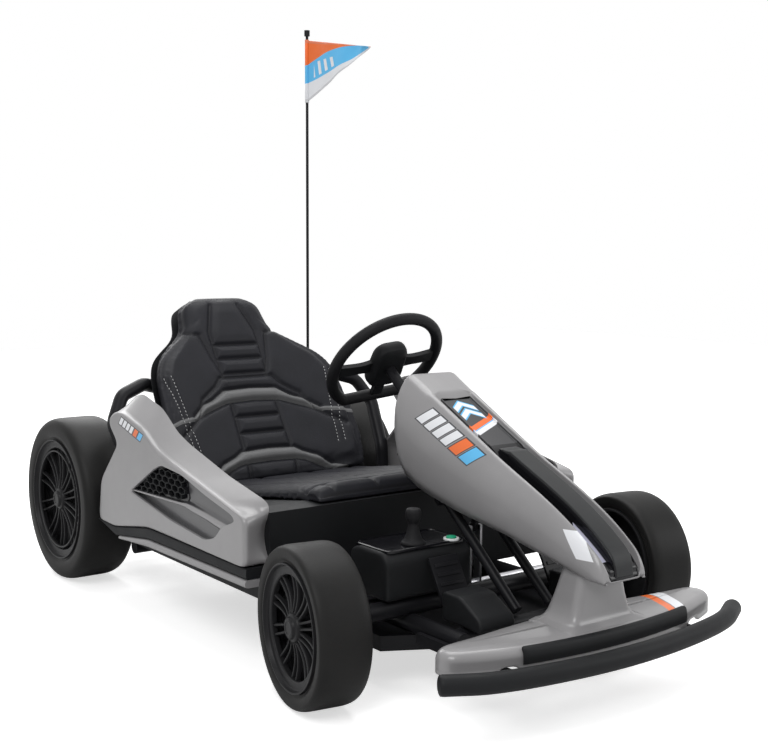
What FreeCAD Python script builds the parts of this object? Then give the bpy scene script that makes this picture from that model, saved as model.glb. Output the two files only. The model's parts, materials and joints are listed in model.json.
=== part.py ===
"""Electric drift kart: tube frame, moulded bodywork, bucket seat, steered front wheels.

Millimetres, +Z up. The kart faces -Y and stands on Z = 0. The origin lies on the
ground in the middle of the kart's length and width, so the driver's right is -X.
"""
import FreeCAD, Part
import math
import os
import Sketcher

from collections import namedtuple
from FreeCAD import Placement, Rotation, Vector

doc = FreeCAD.newDocument("drift_kart")

# Driving sizes, one name each, kept in the spreadsheet.
SIZES = (
    # wheels and track
    ("wheelbase", 860.0),
    ("front_axle_y", -346.0),
    ("outer_half_track", 359.6),
    ("front_tyre_radius", 116.0),
    ("front_tyre_width", 79.0),
    ("front_rim_radius", 91.0),
    ("rear_tyre_radius", 157.0),
    ("rear_tyre_width", 102.0),
    ("rear_rim_radius", 116.0),
    ("tyre_shoulder", 9.0),
    ("bead_gap", 0.3),
    ("bead_inset", 4.0),
    ("bead_rise", 6.0),
    ("rim_wall", 5.0),
    ("rim_lip", 12.0),
    ("face_inset", 7.0),
    ("spoke_thick", 8.0),
    ("spoke_width", 5.0),
    ("spoke_pair_gap", 9.0),
    ("spoke_pairs", 10.0),
    ("spoke_overlap", 3.0),
    ("rim_hub_radius", 21.0),
    ("rim_hub_depth", 44.0),
    ("hub_cap_radius", 15.0),
    ("hub_cap_height", 5.0),
    ("hub_cap_edge", 2.0),
    ("hub_cap_sink", 3.0),
    ("hub_cap_slope", 4.0),
    ("axle_radius", 10.0),
    ("stub_gap", 4.0),
    ("stub_root", 10.0),
    ("soft_gap", 0.3),
    ("cut_over", 1.0),
    # steering geometry
    ("rest_steer", 8.9),
    ("kingpin_inset", 32.0),
    ("kingpin_radius", 8.0),
    ("kingpin_half_height", 45.0),
    ("pin_play", 0.05),
    ("link_play", 0.5),
    ("steer_arm", 42.0),
    ("knuckle_radius", 15.0),
    ("knuckle_half_height", 30.0),
    ("steer_arm_half_root", 11.0),
    ("steer_arm_half_tip", 8.0),
    ("steer_arm_level", 18.0),
    ("steer_arm_thick", 8.0),
    ("link_pin_radius", 5.0),
    ("link_pin_low", 12.0),
    ("link_pin_length", 24.0),
    ("rod_radius", 6.0),
    ("rod_eye_radius", 11.0),
    ("rod_eye_height", 16.0),
    ("fork_gap", 16.6),
    ("fork_plate", 4.0),
    ("fork_rise", 94.0),
    # tube frame
    ("frame_tube", 28.0),
    ("cross_tube", 25.0),
    ("rail_inset", 204.6),
    ("rail_level", 93.0),
    ("nose_run", 105.0),
    ("tail_run", 40.0),
    ("seat_tube_run", 240.0),
    ("arm_tube_back", 204.0),
    ("arm_tube_over", 4.0),
    ("ear_thick", 6.0),
    ("ear_gap", 3.0),
    ("web_inset", 36.0),
    ("beam_inset", 34.0),
    # floor, bumper, wing
    ("tray_level", 56.0),
    ("tray_sheet", 3.0),
    ("tray_overhang", 50.0),
    ("tray_nose_half", 130.0),
    ("tray_nose_run", 40.0),
    ("tray_tail_run", 640.0),
    ("bumper_tube", 28.0),
    ("bumper_level", 94.5),
    ("bumper_reach", 311.0),
    ("bumper_inset", 66.6),
    ("bumper_sweep", 70.0),
    ("bumper_bow", 26.0),
    ("knee_inset", 144.6),
    ("bumper_bend", 110.0),
    ("bracket_thick", 8.0),
    ("bracket_height", 16.0),
    ("bracket_tail", 50.0),
    ("bracket_hole_radius", 3.2),
    ("bracket_hole_pitch", 30.0),
    ("bracket_hole_run", 200.0),
    ("wing_half_span", 264.0),
    ("wing_setback", 33.0),
    ("wing_rear", 160.0),
    ("wing_top", 126.0),
    ("wing_bottom", 92.0),
    ("wing_shoulder", 120.0),
    ("wing_shoulder_inset", 4.0),
    ("wing_top_inset", 14.0),
    ("wing_wall", 3.0),
    ("notch_inner", 163.0),
    ("notch_outer", 203.0),
    ("notch_height", 7.0),
    ("notch_depth", 45.0),
    ("pylon_half_foot", 60.0),
    ("pylon_half_head", 38.0),
    ("pylon_foot_back", 94.0),
    ("pylon_head_back", 78.0),
    ("pylon_front_back", 34.0),
    ("strip_low", 101.0),
    ("strip_thick", 4.0),
    # nose
    ("cowl_wall", 3.0),
    ("cowl_rear", 147.0),
    ("cowl_setback", 27.0),
    ("cowl_base", 191.0),
    ("cowl_height", 255.0),
    ("cowl_half_width", 74.0),
    ("cowl_brow_inset", 3.0),
    ("cowl_belly_inset", 6.0),
    ("belly_over", 4.0),
    ("shelf_level", 206.0),
    ("shelf_half_width", 44.5),
    ("shelf_flare", 5.5),
    ("shelf_front", 8.0),
    ("shelf_rear", 62.0),
    ("trench_half_width", 31.0),
    ("trench_depth", 14.0),
    ("trench_reach", 6.0),
    ("trench_over", 24.0),
    ("liner_thick", 3.0),
    ("liner_gap", 0.9),
    ("band_half_width", 18.0),
    ("band_rise", 8.0),
    # steering column and wheel
    ("ring_radius", 100.0),
    ("ring_tube", 20.0),
    ("ring_flat", 80.0),
    ("wheel_hub_y", 268.0),
    ("wheel_hub_level", 451.0),
    ("column_slope", 40.0),
    ("column_radius", 9.0),
    ("column_tail", 10.0),
    ("drop_arm_run", 19.6),
    ("drop_arm_thick", 10.0),
    ("drop_arm_half_root", 12.0),
    ("drop_arm_half_tip", 3.5),
    ("drop_arm_neck", 24.0),
    ("drop_arm_end", 5.0),
    ("strut_radius", 8.0),
    ("strut_half_gap", 34.0),
    ("strut_below", 18.0),
    ("strut_low", 154.0),
    ("strut_high", 176.0),
    ("plate_low_run", 60.0),
    ("plate_high_run", 160.0),
    ("plate_thick", 12.0),
    ("plate_low_half", 46.0),
    ("plate_foot", 30.0),
    ("plate_brow", 6.0),
    ("plate_top", 20.0),
    ("plate_clear", 3.0),
    ("hub_block_half_width", 34.0),
    ("hub_block_half_height", 46.0),
    ("hub_block_low", 19.0),
    ("hub_block_thick", 26.0),
    ("hub_spoke_thick", 10.0),
    ("hub_spoke_low", 8.0),
    ("hub_spoke_top", 10.0),
    ("hub_spoke_bottom", 12.0),
    # seat
    ("panel_inset", 14.6),
    ("panel_depth", 44.0),
    ("shell_wall", 4.0),
    ("seat_front", 150.0),
    ("seat_lip_level", 268.0),
    ("seat_lip_drop", 20.0),
    ("seat_lip_run", 44.0),
    ("seat_rear", 640.0),
    ("seat_rear_level", 177.4),
    ("seat_width", 420.0),
    ("cushion_roll", 9.0),
    ("cushion_nose", 12.0),
    ("cushion_crest", 50.0),
    ("cushion_crest_level", 4.0),
    ("cushion_rear", 616.0),
    ("cushion_rear_level", 206.0),
    ("cushion_slope_run", 602.0),
    ("cushion_tail_drop", 9.5),
    ("cushion_rear_thick", 18.0),
    ("cushion_sag_run", 570.0),
    ("cushion_sag", 1.8),
    ("cushion_under_gap", 0.9),
    ("cushion_under_run", 600.0),
    ("battery_half_width", 75.0),
    ("battery_front", 300.0),
    ("battery_length", 160.0),
    ("battery_height", 100.0),
    ("back_foot_run", 620.0),
    ("back_foot_level", 196.0),
    ("back_recline", 32.5),
    ("back_length", 430.0),
    ("seat_side_gap", 86.0),
    ("back_thick", 50.0),
    ("bolster_rise", 44.0),
    ("bolster_thick", 36.0),
    # side pods
    ("panel_front", 150.0),
    ("panel_tyre_gap", 7.0),
    ("panel_bottom", 146.0),
    ("panel_height", 240.0),
    ("panel_wall", 3.0),
    ("panel_hollow_inset", 4.8),
    ("mesh_thick", 3.0),
    ("mesh_margin", 5.0),
    ("ramp_deep", 13.0),
    ("ramp_sheet", 3.0),
    ("sill_inset", 2.0),
    # controls
    ("console_right", 206.0),
    ("console_left", 44.0),
    ("console_front", 16.0),
    ("console_rear", 78.0),
    ("console_top", 204.0),
    ("lever_x", 136.0),
    ("lever_run", 12.0),
    ("lever_stem_radius", 5.0),
    ("lever_stem_length", 36.0),
    ("lever_knob_radius", 12.0),
    ("lever_knob_height", 20.0),
    ("button_x", 74.0),
    ("button_run", 2.0),
    ("button_radius", 9.0),
    ("button_height", 8.0),
    ("pedal_inner", 74.0),
    ("pedal_width", 66.0),
    ("pedal_front", 150.0),
    ("pedal_rear", 60.0),
    ("pedal_slope_run", 50.0),
    ("pedal_nose_run", 4.0),
    ("pedal_nose_level", 124.0),
    ("pedal_top_level", 150.0),
    ("pedal_plate_inset", 6.0),
    ("pedal_plate_low", 126.0),
    ("pedal_plate_high", 188.0),
    ("pedal_plate_lean", 36.0),
    ("pedal_plate_thick", 4.0),
    ("pedal_plate_skew", 2.0),
    # rear drive
    ("gear_gap", 40.0),
    ("gear_width", 40.6),
    ("gear_half_height", 44.0),
    ("gear_front", 80.0),
    ("motor_length", 70.0),
    ("motor_radius", 22.0),
    ("motor_ahead", 50.0),
    ("motor_above", 15.0),
    # flag
    ("pole_inset", 121.6),
    ("pole_radius", 3.0),
    ("pole_top", 1112.0),
    ("pole_foot", 10.0),
    ("pole_ball_radius", 6.0),
    ("pole_ball_height", 12.0),
    ("socket_radius", 8.0),
    ("socket_low", 14.0),
    ("socket_height", 60.0),
    ("flag_length", 230.0),
    ("flag_hoist", 130.0),
    ("flag_drop", 18.0),
    ("flag_tip_drop", 60.0),
    ("flag_sheet", 1.6),
    # side arms
    ("arm_radius", 13.0),
    ("arm_bend", 34.0),
    ("arm_clear", 16.0),
    ("arm_run", 129.0),
    ("arm_height", 276.2),
)


FULL_TURN = 360


class Size:
    """A number together with the sheet formula that gives it."""

    def __init__(self, number, text):
        self.number = float(number)
        self.text = text

    def _join(self, other, sign, number):
        return Size(number, "(%s %s %s)" % (self.text, sign, as_size(other).text))

    def __add__(self, other):
        return self._join(other, "+", self.number + as_size(other).number)

    def __sub__(self, other):
        return self._join(other, "-", self.number - as_size(other).number)

    def __mul__(self, other):
        return self._join(other, "*", self.number * as_size(other).number)

    def __truediv__(self, other):
        return self._join(other, "/", self.number / as_size(other).number)

    def __radd__(self, other):
        return as_size(other) + self

    def __rsub__(self, other):
        return as_size(other) - self

    def __rmul__(self, other):
        return as_size(other) * self

    def __neg__(self):
        return Size(-self.number, "(0 - %s)" % self.text)

    def __float__(self):
        return self.number


def as_size(value):
    return value if isinstance(value, Size) else Size(value, "%.10g" % value)


class Sheet:
    """Writes the driving sizes into cells and hands them back by name."""

    def __init__(self, rows):
        self.sheet = doc.addObject("Spreadsheet::Sheet", "sizes")
        for row, (name, number) in enumerate(rows, start=1):
            self.sheet.set("A%d" % row, name)
            self.sheet.set("B%d" % row, "%.10g" % number)
            self.sheet.setAlias("B%d" % row, name)
            setattr(self, name, Size(number, "sizes." + name))
        doc.recompute()


s = Sheet(SIZES)
nodes = []


def keep(piece, name, place=(0, 0, 0), turn=None):
    """Label a finished piece, place it by formula and list it for export."""
    piece.Label = name
    if turn is not None:
        piece.Placement = Placement(Vector(0, 0, 0), turn)
    for axis, value in zip("xyz", place):
        piece.setExpression("Placement.Base.%s" % axis, as_size(value).text)
    nodes.append(piece)
    return piece


def new_body(name):
    return doc.addObject("PartDesign::Body", name)


def plane_of(body, role):
    for feature in body.Origin.OriginFeatures:
        if feature.Role == role:
            return feature
    raise LookupError(role)


def new_sketch(body, role, name, offset=None):
    """A sketch on one of the body's own planes, moved along its normal by a formula."""
    sketch = body.newObject("Sketcher::SketchObject", name)
    sketch.AttachmentSupport = [(plane_of(body, role), "")]
    sketch.MapMode = "FlatFace"
    if offset is not None:
        sketch.setExpression("AttachmentOffset.Base.z", as_size(offset).text)
    return sketch


def pin_point(sketch, geometry, end, x, y):
    """Hold one point of the sketch at a place given by two formulas."""
    for kind, axis, value in (("DistanceX", -2, x), ("DistanceY", -1, y)):
        value = as_size(value)
        if abs(value.number) < 1e-9 and "sizes" not in value.text:
            sketch.addConstraint(Sketcher.Constraint("PointOnObject", geometry, end, axis))
            continue
        rule = sketch.addConstraint(Sketcher.Constraint(kind, -1, 1, geometry, end, value.number))
        sketch.setExpression("Constraints[%d]" % rule, value.text)


def polygon(sketch, points):
    """A closed outline of straight edges through points given as pairs of formulas."""
    corners = [Vector(float(as_size(x)), float(as_size(y)), 0) for x, y in points]
    edges = []
    for start, end in zip(corners, corners[1:] + corners[:1]):
        edges.append(sketch.addGeometry(Part.LineSegment(start, end), False))
    for edge, after in zip(edges, edges[1:] + edges[:1]):
        sketch.addConstraint(Sketcher.Constraint("Coincident", edge, 2, after, 1))
    for edge, (x, y) in zip(edges, points):
        pin_point(sketch, edge, 1, x, y)
    return sketch


def circle(sketch, x, y, radius):
    radius = as_size(radius)
    centre = Vector(float(as_size(x)), float(as_size(y)), 0)
    ring = sketch.addGeometry(Part.Circle(centre, Vector(0, 0, 1), radius.number), False)
    pin_point(sketch, ring, 3, x, y)
    rule = sketch.addConstraint(Sketcher.Constraint("Radius", ring, radius.number))
    sketch.setExpression("Constraints[%d]" % rule, radius.text)
    return sketch


def bind(feature, **formulas):
    for prop, value in formulas.items():
        feature.setExpression(prop, as_size(value).text)
    return feature


def pad(body, sketch, length, midplane=False, reverse=False):
    feature = body.newObject("PartDesign::Pad", "Pad")
    feature.Profile = sketch
    feature.Midplane = midplane
    feature.Reversed = reverse
    bind(feature, Length=length)
    return feature


def pocket(body, sketch, length, midplane=False, reverse=False):
    feature = body.newObject("PartDesign::Pocket", "Pocket")
    feature.Profile = sketch
    feature.Midplane = midplane
    feature.Reversed = reverse
    bind(feature, Length=length)
    return feature


def revolve(body, sketch):
    feature = body.newObject("PartDesign::Revolution", "Turned")
    feature.Profile = sketch
    feature.ReferenceAxis = (sketch, ["H_Axis"])
    feature.Angle = FULL_TURN
    return feature


def loft(body, sketches, cut=False):
    kind = "PartDesign::SubtractiveLoft" if cut else "PartDesign::AdditiveLoft"
    feature = body.newObject(kind, "Loft")
    feature.Profile = sketches[0]
    feature.Sections = sketches[1:]
    feature.Ruled = True
    return feature


def numbers(*values):
    return Vector(*[float(as_size(value)) for value in values])


def bent_path(points, bend):
    """Straight runs through the points, joined by tangent arcs of the bend radius."""
    edges = []
    start = points[0]
    for before, corner, after in zip(points, points[1:], points[2:]):
        arrive = corner.sub(before).normalize()
        leave = after.sub(corner).normalize()
        turn = arrive.getAngle(leave)
        setback = bend * math.tan(turn / 2)
        begin = corner.sub(arrive * setback)
        finish = corner + leave * setback
        inward = (leave - arrive).normalize()
        centre = corner + inward * (bend / math.cos(turn / 2))
        middle = centre - inward * bend
        edges.append(Part.LineSegment(start, begin).toShape())
        edges.append(Part.Arc(begin, middle, finish).toShape())
        start = finish
    edges.append(Part.LineSegment(start, points[-1]).toShape())
    return Part.Wire(edges)


def tube_shape(points, radius, bend):
    """A round bar along a bent path."""
    heading = points[1].sub(points[0])
    section = Part.Wire(Part.makeCircle(radius, points[0], heading))
    return bent_path(points, bend).makePipeShell([section], True, False)


def bar(start, end, radius):
    return Part.makeCylinder(radius, end.sub(start).Length, start, end.sub(start))


def coded(name, shape):
    """A piece whose shape is worked out by code from the sheet's sizes."""
    feature = doc.addObject("Part::Feature", name)
    feature.Shape = shape
    return feature


def table(columns, *rows):
    """A short table whose columns have names."""
    kind = namedtuple("Row", columns)
    return [kind(*row) for row in rows]


SIDES = (("right", -1), ("left", 1))
FRONT = s.front_axle_y
REAR = s.front_axle_y + s.wheelbase
GAP = s.soft_gap
THROUGH = s.cut_over


def from_front(distance):
    """The place this far behind the front axle."""
    return FRONT + distance


def spread(rows, low, run, base, rise):
    """Points given as shares of a run and a rise, set out from a corner."""
    return [(low + run * across, base + rise * up) for across, up in rows]


def both_ways(rows):
    """A right half outline, centre line last, closed by its mirror image."""
    return [(-x, y) for x, y in rows] + [(x, y) for x, y in reversed(rows)]


RAIL = s.outer_half_track - s.rail_inset
KINGPIN = s.outer_half_track - s.front_tyre_width / 2 - s.kingpin_inset
PANEL_OUTER = s.outer_half_track - s.panel_inset
PANEL_ROOT = PANEL_OUTER - s.panel_depth
ARM_FOOT = PANEL_ROOT - s.arm_clear
DECK = s.rail_level + s.frame_tube / 2 + GAP
CROSS_TOP = s.rail_level + s.cross_tube / 2 + GAP
PANEL_LENGTH = s.wheelbase - s.rear_tyre_radius - s.panel_tyre_gap - s.panel_front
ARM_TUBE = REAR - s.arm_tube_back
SEAT_HALF = PANEL_ROOT - s.seat_side_gap
BUMPER_HALF = s.outer_half_track - s.bumper_inset
BUMPER_KNEE = s.outer_half_track - s.knee_inset
WING_FRONT = FRONT - s.bumper_reach + s.wing_setback


def tyre(name, radius, width, rim_radius, place, turn):
    """A slick tyre: a flat tread with rounded shoulders on a straight bead."""
    body = new_body(name)
    half = width / 2
    foot = half - s.bead_inset
    bead = rim_radius + s.bead_gap
    wall = bead + s.bead_rise
    shoulder = s.tyre_shoulder
    outline = [(-foot, bead), (foot, bead), (half, wall), (half, radius - shoulder),
               (half - shoulder, radius), (-half + shoulder, radius), (-half, radius - shoulder),
               (-half, wall)]
    revolve(body, polygon(new_sketch(body, "XY_Plane", "section"), outline))
    return keep(body, name, place, turn)


SPOKE_TAPER = 0.6


def rim(name, rim_radius, width, place, turn, out):
    """A deep dished wheel: barrel, hub and pairs of slim spokes near the outer face."""
    body = new_body(name)
    half = width / 2
    wall = s.rim_wall
    face = (half - s.face_inset) * out
    back = face - s.spoke_thick * out
    barrel = [(-half, rim_radius - wall), (half, rim_radius - wall), (half, rim_radius),
              (-half, rim_radius)]
    revolve(body, polygon(new_sketch(body, "XY_Plane", "barrel"), barrel))
    lip = rim_radius - wall - s.rim_lip
    seat = rim_radius - wall + THROUGH
    ring = [(face, lip), (back, lip), (back, seat), (face, seat)]
    revolve(body, polygon(new_sketch(body, "XY_Plane", "face_ring"), ring))
    deep = face - s.rim_hub_depth * out
    bore = s.axle_radius + s.pin_play
    hub = [(face, bore), (deep, bore), (deep, s.rim_hub_radius), (face, s.rim_hub_radius)]
    revolve(body, polygon(new_sketch(body, "XY_Plane", "hub"), hub))
    top = face + s.hub_cap_height * out
    edge = face + s.hub_cap_edge * out
    sunk = face - s.hub_cap_sink * out
    cap = [(top, 0), (sunk, 0), (sunk, s.hub_cap_radius), (edge, s.hub_cap_radius),
           (top, s.hub_cap_radius - s.hub_cap_slope)]
    revolve(body, polygon(new_sketch(body, "XY_Plane", "cap"), cap))
    spoke = new_sketch(body, "YZ_Plane", "spokes", offset=back if out > 0 else face)
    foot = s.rim_hub_radius - s.spoke_overlap
    tip = lip + s.spoke_overlap
    for side in (-1, 1):
        inner = side * s.spoke_pair_gap / 2
        outer = inner + side * s.spoke_width
        polygon(spoke, [(inner * SPOKE_TAPER, foot), (outer * SPOKE_TAPER, foot), (outer, tip),
                        (inner, tip)])
    first = pad(body, spoke, s.spoke_thick)
    pattern = body.newObject("PartDesign::PolarPattern", "Spokes")
    pattern.Originals = [first]
    pattern.Axis = (plane_of(body, "X_Axis"), [""])
    pattern.Angle = FULL_TURN
    bind(pattern, Occurrences=s.spoke_pairs)
    body.Tip = pattern
    return keep(body, name, place, turn)


def make_wheels():
    """Two steered wheels at the front, two wider ones on the rear axle."""
    for side, sign in SIDES:
        turn = Rotation(Vector(0, 0, 1), -float(s.rest_steer))
        swing = turn.multVec(Vector(sign, 0, 0))
        front = (sign * KINGPIN + s.kingpin_inset * swing.x, FRONT + s.kingpin_inset * swing.y,
                 s.front_tyre_radius)
        rear = (sign * (s.outer_half_track - s.rear_tyre_width / 2), REAR, s.rear_tyre_radius)
        upright = Rotation()
        tyre("front_tyre_" + side, s.front_tyre_radius, s.front_tyre_width, s.front_rim_radius,
             front, turn)
        rim("front_rim_" + side, s.front_rim_radius, s.front_tyre_width, front, turn, sign)
        tyre("rear_tyre_" + side, s.rear_tyre_radius, s.rear_tyre_width, s.rear_rim_radius,
             rear, upright)
        rim("rear_rim_" + side, s.rear_rim_radius, s.rear_tyre_width, rear, upright, sign)


make_wheels()


def plain_box(name, low, high):
    """A block between two corners given by formulas."""
    body = new_body(name)
    outline = [(low[0], low[1]), (high[0], low[1]), (high[0], high[1]), (low[0], high[1])]
    sketch = polygon(new_sketch(body, "XY_Plane", "outline", offset=low[2]), outline)
    pad(body, sketch, high[2] - low[2])
    return body


def frame_points(*rows):
    return [numbers(*row) for row in rows]


def block(low, high):
    """A plain box shape between two corners given by formulas."""
    near = numbers(*low)
    size = numbers(*high).sub(near)
    return Part.makeBox(size.x, size.y, size.z, near)


def make_frame():
    """Two long rails, a front axle beam with kingpin forks, and cross tubes."""
    rail = float(s.frame_tube) / 2
    cross = float(s.cross_tube) / 2
    nose = FRONT - s.nose_run
    tail = REAR + s.tail_run
    hub = s.front_tyre_radius
    shapes = []
    for side in (-1, 1):
        ends = frame_points((side * RAIL, nose - s.cross_tube, s.rail_level),
                            (side * RAIL, tail + s.cross_tube, s.rail_level))
        shapes.append(bar(ends[0], ends[1], rail))
    for place, level, reach, radius in ((FRONT, hub, KINGPIN - s.beam_inset, rail),
                                        (nose, s.rail_level, RAIL, cross),
                                        (from_front(s.seat_tube_run), s.rail_level, RAIL, cross),
                                        (ARM_TUBE, s.rail_level,
                                         ARM_FOOT + s.arm_tube_over, cross),
                                        (tail, s.rail_level, POLE_X + s.socket_radius, cross)):
        ends = frame_points((-reach, place, level), (reach, place, level))
        shapes.append(bar(ends[0], ends[1], radius))
    half = s.knuckle_radius - THROUGH
    gap = s.knuckle_half_height + s.ear_gap
    for side in (-1, 1):
        inner = side * (KINGPIN - s.web_inset - s.ear_gap)
        outer = side * (KINGPIN + s.knuckle_radius - THROUGH)
        west, east = (outer, inner) if side < 0 else (inner, outer)
        for low in (hub + gap, hub - gap - s.ear_thick):
            shapes.append(block((west, FRONT - half, low), (east, FRONT + half, low + s.ear_thick)))
        web = side * (KINGPIN - s.web_inset)
        shapes.append(block((web - s.ear_gap, FRONT - half, hub - gap - s.ear_thick),
                            (web + s.ear_gap, FRONT + half, hub + gap + s.ear_thick)))
        pin = frame_points((side * KINGPIN, FRONT, hub - s.kingpin_half_height),
                           (side * KINGPIN, FRONT, hub + s.kingpin_half_height))
        shapes.append(bar(pin[0], pin[1], float(s.kingpin_radius)))
        post = frame_points((side * RAIL, REAR, s.rail_level),
                            (side * RAIL, REAR, s.rear_tyre_radius - s.axle_radius - GAP))
        shapes.append(bar(post[0], post[1], cross))
    frame = shapes[0].multiFuse(shapes[1:]).removeSplitter()
    keep(coded("frame", frame), "main_frame")


POLE_X = s.outer_half_track - s.pole_inset
make_frame()


def make_tray():
    """The floor sheet hangs below the rails and narrows towards the front axle."""
    body = new_body("tray")
    top = s.rail_level - s.frame_tube / 2 - GAP
    floor = s.tray_level + s.tray_sheet

    def edge(wall):
        half = RAIL + s.tray_overhang - wall
        return both_ways([(half, from_front(s.tray_tail_run) - wall), (half, FRONT + wall),
                          (s.tray_nose_half - wall, from_front(-s.tray_nose_run) + wall)])

    pad(body, polygon(new_sketch(body, "XY_Plane", "outline", offset=s.tray_level), edge(0)),
        top - s.tray_level)
    pocket(body, polygon(new_sketch(body, "XY_Plane", "inside", offset=top), edge(s.tray_sheet)),
           top - floor)
    keep(body, "floor_tray")


make_tray()

GEAR_ROWS = ((-1.0, 0.27), (-0.75, 1.0), (0.375, 1.0), (0.55, 0.45))


def make_rear_drive():
    """A fixed rear axle with a motor and gearbox beside each wheel."""
    body = new_body("axle")
    inner_face = s.outer_half_track - s.rear_tyre_width
    reach = s.outer_half_track - s.face_inset - s.stub_gap
    shaft = circle(new_sketch(body, "YZ_Plane", "section"), 0, 0, s.axle_radius)
    pad(body, shaft, reach * 2, midplane=True)
    keep(body, "rear_axle", (0, REAR, s.rear_tyre_radius))
    body = new_body("gearboxes")
    far = inner_face - s.gear_gap
    near = far - s.gear_width
    upper = [(s.gear_front * along_y, s.gear_half_height * up) for along_y, up in GEAR_ROWS]
    outline = upper + [(y, -z) for y, z in reversed(upper)]
    for side in (-1, 1):
        sketch = new_sketch(body, "YZ_Plane", "case", offset=near if side > 0 else -far)
        pad(body, polygon(sketch, outline), far - near)
        motor = new_sketch(body, "YZ_Plane", "motor", offset=near - s.motor_length if side > 0 else -near)
        pad(body, circle(motor, -s.motor_ahead, s.motor_above, s.motor_radius), s.motor_length)
    bore = circle(new_sketch(body, "YZ_Plane", "bore"), 0, 0, s.axle_radius + s.pin_play)
    pocket(body, bore, inner_face * 2, midplane=True)
    keep(body, "gear_motors", (0, REAR, s.rear_tyre_radius))


def make_bumper():
    """One bent tube, gently bowed, swept back at both ends, and its two bolted brackets."""
    z = s.bumper_level
    front = FRONT - s.bumper_reach
    half = [(BUMPER_HALF, front + s.bumper_sweep, z), (BUMPER_KNEE, front + s.bumper_bow, z)]
    points = frame_points(*[(-x, y, z) for x, y, z in half], (0, front, z), *reversed(half))
    shape = tube_shape(points, float(s.bumper_tube) / 2, float(s.bumper_bend))
    keep(coded("bumper", shape), "front_bumper")
    body = new_body("brackets")
    top = s.wing_bottom - GAP
    start = RAIL + s.frame_tube / 2 + GAP
    bow = s.bumper_bow * (start + s.bracket_thick / 2) / BUMPER_KNEE
    low = front + bow + s.bumper_tube / 2 + THROUGH
    tail = FRONT - s.bracket_tail
    sketch = new_sketch(body, "XY_Plane", "plates", offset=top - s.bracket_height)
    for side in (-1, 1):
        near = side * start
        far = side * (start + s.bracket_thick)
        polygon(sketch, [(near, low), (far, low), (far, tail), (near, tail)])
    pad(body, sketch, s.bracket_height)
    holes = new_sketch(body, "YZ_Plane", "holes")
    for side in (-1, 1):
        place = FRONT - s.bracket_hole_run + side * s.bracket_hole_pitch / 2
        circle(holes, place, top - s.bracket_height / 2, s.bracket_hole_radius)
    pocket(body, holes, (start + s.bracket_thick + THROUGH) * 2, midplane=True)
    keep(body, "bumper_brackets")


make_rear_drive()
make_bumper()

# Plan of the wing: share of the half span outwards, share of its depth back from the front.
WING_ROWS = ((0.583, 0.119), (0.871, 0.339), (0.97, 0.46), (1.0, 0.619), (0.975, 0.74), (0.917, 0.797),
             (0.307, 0.966))
STRIP_ROWS = ((0.61, 0.139), (0.583, 0.119))


def wing_plan(rows, inset):
    """Part of the wing's outline, drawn in towards its middle."""
    depth = FRONT - s.wing_rear - WING_FRONT
    middle = WING_FRONT + depth / 2
    narrow = s.wing_half_span - inset
    shallow = depth - inset * 2
    return [(narrow * out, middle + shallow * (back - 0.5)) for out, back in rows]


def wing_outline(inset):
    rows = wing_plan(WING_ROWS, inset)
    front = wing_plan(((0, 0),), inset)
    return [(-x, y) for x, y in reversed(rows)] + front + rows


def make_wing():
    """A hollow front wing with notches in its lower edge and a pylon that carries the nose."""
    body = new_body("wing")
    wall = s.wing_wall
    levels = ((s.wing_bottom, as_size(0)), (s.wing_shoulder, s.wing_shoulder_inset),
              (s.wing_top, s.wing_top_inset))
    skin = [polygon(new_sketch(body, "XY_Plane", "skin", offset=level), wing_outline(inset))
            for level, inset in levels]
    loft(body, skin)
    inside = ((s.wing_bottom - THROUGH, wall), (s.wing_shoulder, s.wing_shoulder_inset + wall),
              (s.wing_top - wall, s.wing_top_inset + wall))
    hollow = [polygon(new_sketch(body, "XY_Plane", "hollow", offset=level), wing_outline(inset))
              for level, inset in inside]
    loft(body, hollow, cut=True)
    notches = new_sketch(body, "XY_Plane", "notches", offset=s.wing_bottom + s.notch_height)
    for side in (-1, 1):
        near = side * s.notch_inner
        far = side * s.notch_outer
        ahead = WING_FRONT - THROUGH
        behind = WING_FRONT + s.notch_depth
        polygon(notches, [(near, ahead), (far, ahead), (far, behind), (near, behind)])
    pocket(body, notches, s.notch_height + THROUGH)
    front = WING_FRONT + s.pylon_front_back
    sections = []
    for level, half, back in ((s.wing_top - wall, s.pylon_half_foot, s.pylon_foot_back),
                              (s.shelf_level - GAP, s.pylon_half_head, s.pylon_head_back)):
        rear = WING_FRONT + back
        plan = [(-half, rear), (half, rear), (half, front), (-half, front)]
        sections.append(polygon(new_sketch(body, "XY_Plane", "pylon", offset=level), plan))
    loft(body, sections)
    keep(body, "front_wing")


def make_wing_strip():
    """A thin strip that lies on the front face of the wing."""
    body = new_body("strip")
    sections = []
    for level in (s.strip_low, s.wing_shoulder):
        share = (level - s.wing_bottom) / (s.wing_shoulder - s.wing_bottom)
        inset = s.wing_shoulder_inset * share
        half = wing_plan(STRIP_ROWS, inset)
        back = [(-x, y) for x, y in half] + wing_plan(((0, 0),), inset) + half[::-1]
        edge = [(x, y - GAP * 2) for x, y in back]
        edge += [(x, y - GAP * 2 - s.strip_thick) for x, y in reversed(back)]
        sections.append(polygon(new_sketch(body, "XY_Plane", "edge", offset=level), edge))
    loft(body, sections)
    keep(body, "wing_strip")


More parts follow.
